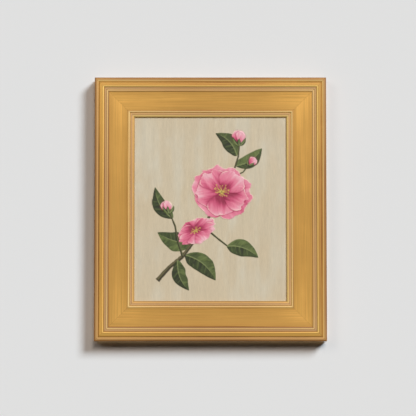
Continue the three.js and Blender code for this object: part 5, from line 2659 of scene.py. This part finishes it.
@dataclass(frozen=True)
class Lamp:
    """A soft light that comes from one direction.

    Attributes:
        name: Its name.
        towards: The direction from the picture to the light.
        strength: Its light on a face square to it.
        spread: How wide it looks, in degrees.
        tint: Its linear colour.
    """

    name: str
    towards: tuple[float, float, float]
    strength: float
    spread: float
    tint: tuple[float, float, float] = (1.0, 1.0, 1.0)

    def build(self) -> None:
        """Adds the light to the scene."""
        light = bpy.data.lights.new(self.name, "SUN")
        light.energy, light.angle, light.color = self.strength, math.radians(self.spread), self.tint
        direction = Vector(self.towards)
        linked(self.name, light).rotation_euler = direction.to_track_quat("Z", "Y").to_euler()


@dataclass
class Studio:
    """The wall that the picture hangs on, a floor, soft light and the camera. Its sizes are in metres.

    The wall is open behind the picture and can't be seen from behind, so that the back can be looked at.

    Attributes:
        wall_reach: How far the wall goes to each side and up.
        floor_drop: How far below the origin the floor is.
        hidden_margin: How far the wall reaches in behind the frame's edge.
        pale: The colour of the wall and the floor.
        lamps: The lights, three from in front and two from behind.
        ambient: The light of the surround.
        backdrop: How bright the surround looks to the camera.
        photo_scale: The metres to one pixel of the photograph.
        photo_size: The photograph's side, in pixels.
        photo_centre: The pixel of the picture's middle.
        below: How far the camera looks up, in degrees.
        plane: How far back in the picture's depth the camera's scale holds, as a share.
        lens: Its focal length, in millimetres.
        sensor: Its sensor's width, in millimetres.
    """

    wall_reach: float = 6.0
    floor_drop: float = 1.55
    hidden_margin: float = 3 * MM
    pale: tuple = linear(231, 231, 231)
    lamps: tuple[Lamp, ...] = (
        Lamp("key_light", (0.515, -0.69, 0.505), 2.9, 20.0, (0.86, 0.94, 1.0)),
        Lamp("fill_light", (0.1, -0.92, 0.38), 0.9, 15.0, (1.0, 0.865, 0.75)),
        Lamp("side_fill", (-0.5, -0.79, 0.36), 0.42, 24.0, (1.0, 0.865, 0.75)),
        Lamp("light_from_behind", (0.2, 0.94, 0.28), 1.9, 20.0),
        Lamp("fill_from_behind", (-0.35, 0.93, 0.0), 0.7, 30.0, (1.0, 0.96, 0.92)),
    )
    ambient: float = 0.02
    backdrop: float = 0.62
    photo_scale: float = 1.5865 * MM
    photo_size: int = 416
    photo_centre: Pair = (210.45, 208.9)
    below: float = 4.0
    plane: float = 0.2
    lens: float = 180.0
    sensor: float = 36.0

    def build_wall(self) -> None:
        """Makes the wall at y = 0 as four quads round the picture's hidden part.

        Its plain matt paint is clear from behind, and lets the light from behind pass.
        """
        low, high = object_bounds()
        margin, reach = self.hidden_margin, self.wall_reach
        inner = low.x + margin, high.x - margin, low.z + margin, high.z - margin
        outer = -reach, reach, -self.floor_drop, reach
        ways = ((0, 2), (1, 2), (1, 3), (0, 3))
        corners = np.array([[edges[i], 0.0, edges[j]] for edges in (outer, inner) for i, j in ways])
        quads = np.array([[k, (k + 1) % 4, (k + 1) % 4 + 4, k + 4] for k in range(4)])
        wall = Shell(corners, [quads], [np.zeros((4, 4, 2))]).build("studio_wall", smooth=False)
        paint = Coating("plain_wall")
        paint.shade(Base_Color=self.pale, Roughness=0.9, Specular_IOR_Level=0.1)
        from_behind = paint.signal("ShaderNodeNewGeometry", None, "Backfacing")
        shadow = paint.signal("ShaderNodeLightPath", None, "Is Shadow Ray")
        factor = paint.math("MAXIMUM", from_behind, shadow)
        clear = paint.node("ShaderNodeBsdfTransparent")
        wall.data.materials.append(paint.show(factor, paint.shader, clear))
        wall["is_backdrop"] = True

    def build_floor(self) -> None:
        """Makes a plain pale floor well below the picture, which throws no light back up at it."""
        reach, z = self.wall_reach, -self.floor_drop
        places = np.array([[-reach, -reach, z], [reach, -reach, z], [reach, reach, z], [-reach, reach, z]])
        floor = Shell(places, [np.arange(4)[None]], [np.zeros((1, 4, 2))]).build("studio_floor", smooth=False)
        paint = Coating("plain_floor")
        paint.shade(Base_Color=self.pale, Roughness=0.9, Specular_IOR_Level=0.0)
        seen = paint.signal("ShaderNodeLightPath", None, "Is Camera Ray")
        dark = paint.node("ShaderNodeBsdfDiffuse", {"Color": (0.0, 0.0, 0.0, 1.0)})
        floor.data.materials.append(paint.show(seen, dark, paint.shader))
        floor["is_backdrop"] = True

    def build_world(self) -> None:
        """A pale even surround that lights the picture only a little."""
        world = bpy.data.worlds.new("studio")
        world.use_nodes = True
        bpy.context.scene.world = world
        graph = Graph(world.node_tree)
        seen = graph.signal("ShaderNodeLightPath", None, "Is Camera Ray")
        background = world.node_tree.nodes["Background"].inputs
        graph.feed(background["Color"], (1.0, 1.0, 1.0, 1.0))
        graph.feed(background["Strength"], seen * (self.backdrop - self.ambient) + self.ambient)

    def build_camera(self) -> None:
        """Places the camera a little below the picture's middle, square to the wall otherwise.

        At distance d the lens shows d * sensor / lens, which is set to the photograph's width at its scale.
        """
        low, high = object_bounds()
        centre = (low + high) / 2
        centre.y = low.y * (1 - self.plane) + high.y * self.plane
        tilt = math.radians(self.below)
        upwards = Vector((0, -math.sin(tilt), math.cos(tilt)))
        back = Vector((0, -math.cos(tilt), -math.sin(tilt)))
        aside, up = (np.array(self.photo_centre) - self.photo_size / 2) * self.photo_scale
        aim = centre - Vector((aside, 0, 0)) + upwards * up
        lens = bpy.data.cameras.new("camera")
        lens.lens, lens.sensor_width = self.lens, self.sensor
        lens.clip_start, lens.clip_end = 0.05, 50
        camera = linked("camera", lens)
        camera.location = aim + back * (self.photo_size * self.photo_scale * self.lens / self.sensor)
        camera.rotation_euler = (-back).to_track_quat("-Z", "Y").to_euler()
        bpy.context.scene.camera = camera

    def build(self) -> None:
        """Adds everything that isn't part of the picture."""
        self.build_camera()
        self.build_wall()
        self.build_floor()
        self.build_world()
        for lamp in self.lamps:
            lamp.build()
        bpy.context.scene.view_settings.view_transform = "Standard"


def main() -> None:
    """Builds the pieces in order."""
    logging.basicConfig(level=logging.INFO, format="%(name)s: %(message)s")
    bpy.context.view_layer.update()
    Studio().build()
    Moulding().build()
    bars = Stretcher().build()
    Linen().build(bars)
    PaintedCanvas().build()
    Staple().build()
    CornerFastener().build()
    TurnButton().build()
    PanScrew().build()
    SawtoothHanger().build()
    WallPad().build()


if __name__ == "__main__":
    main()
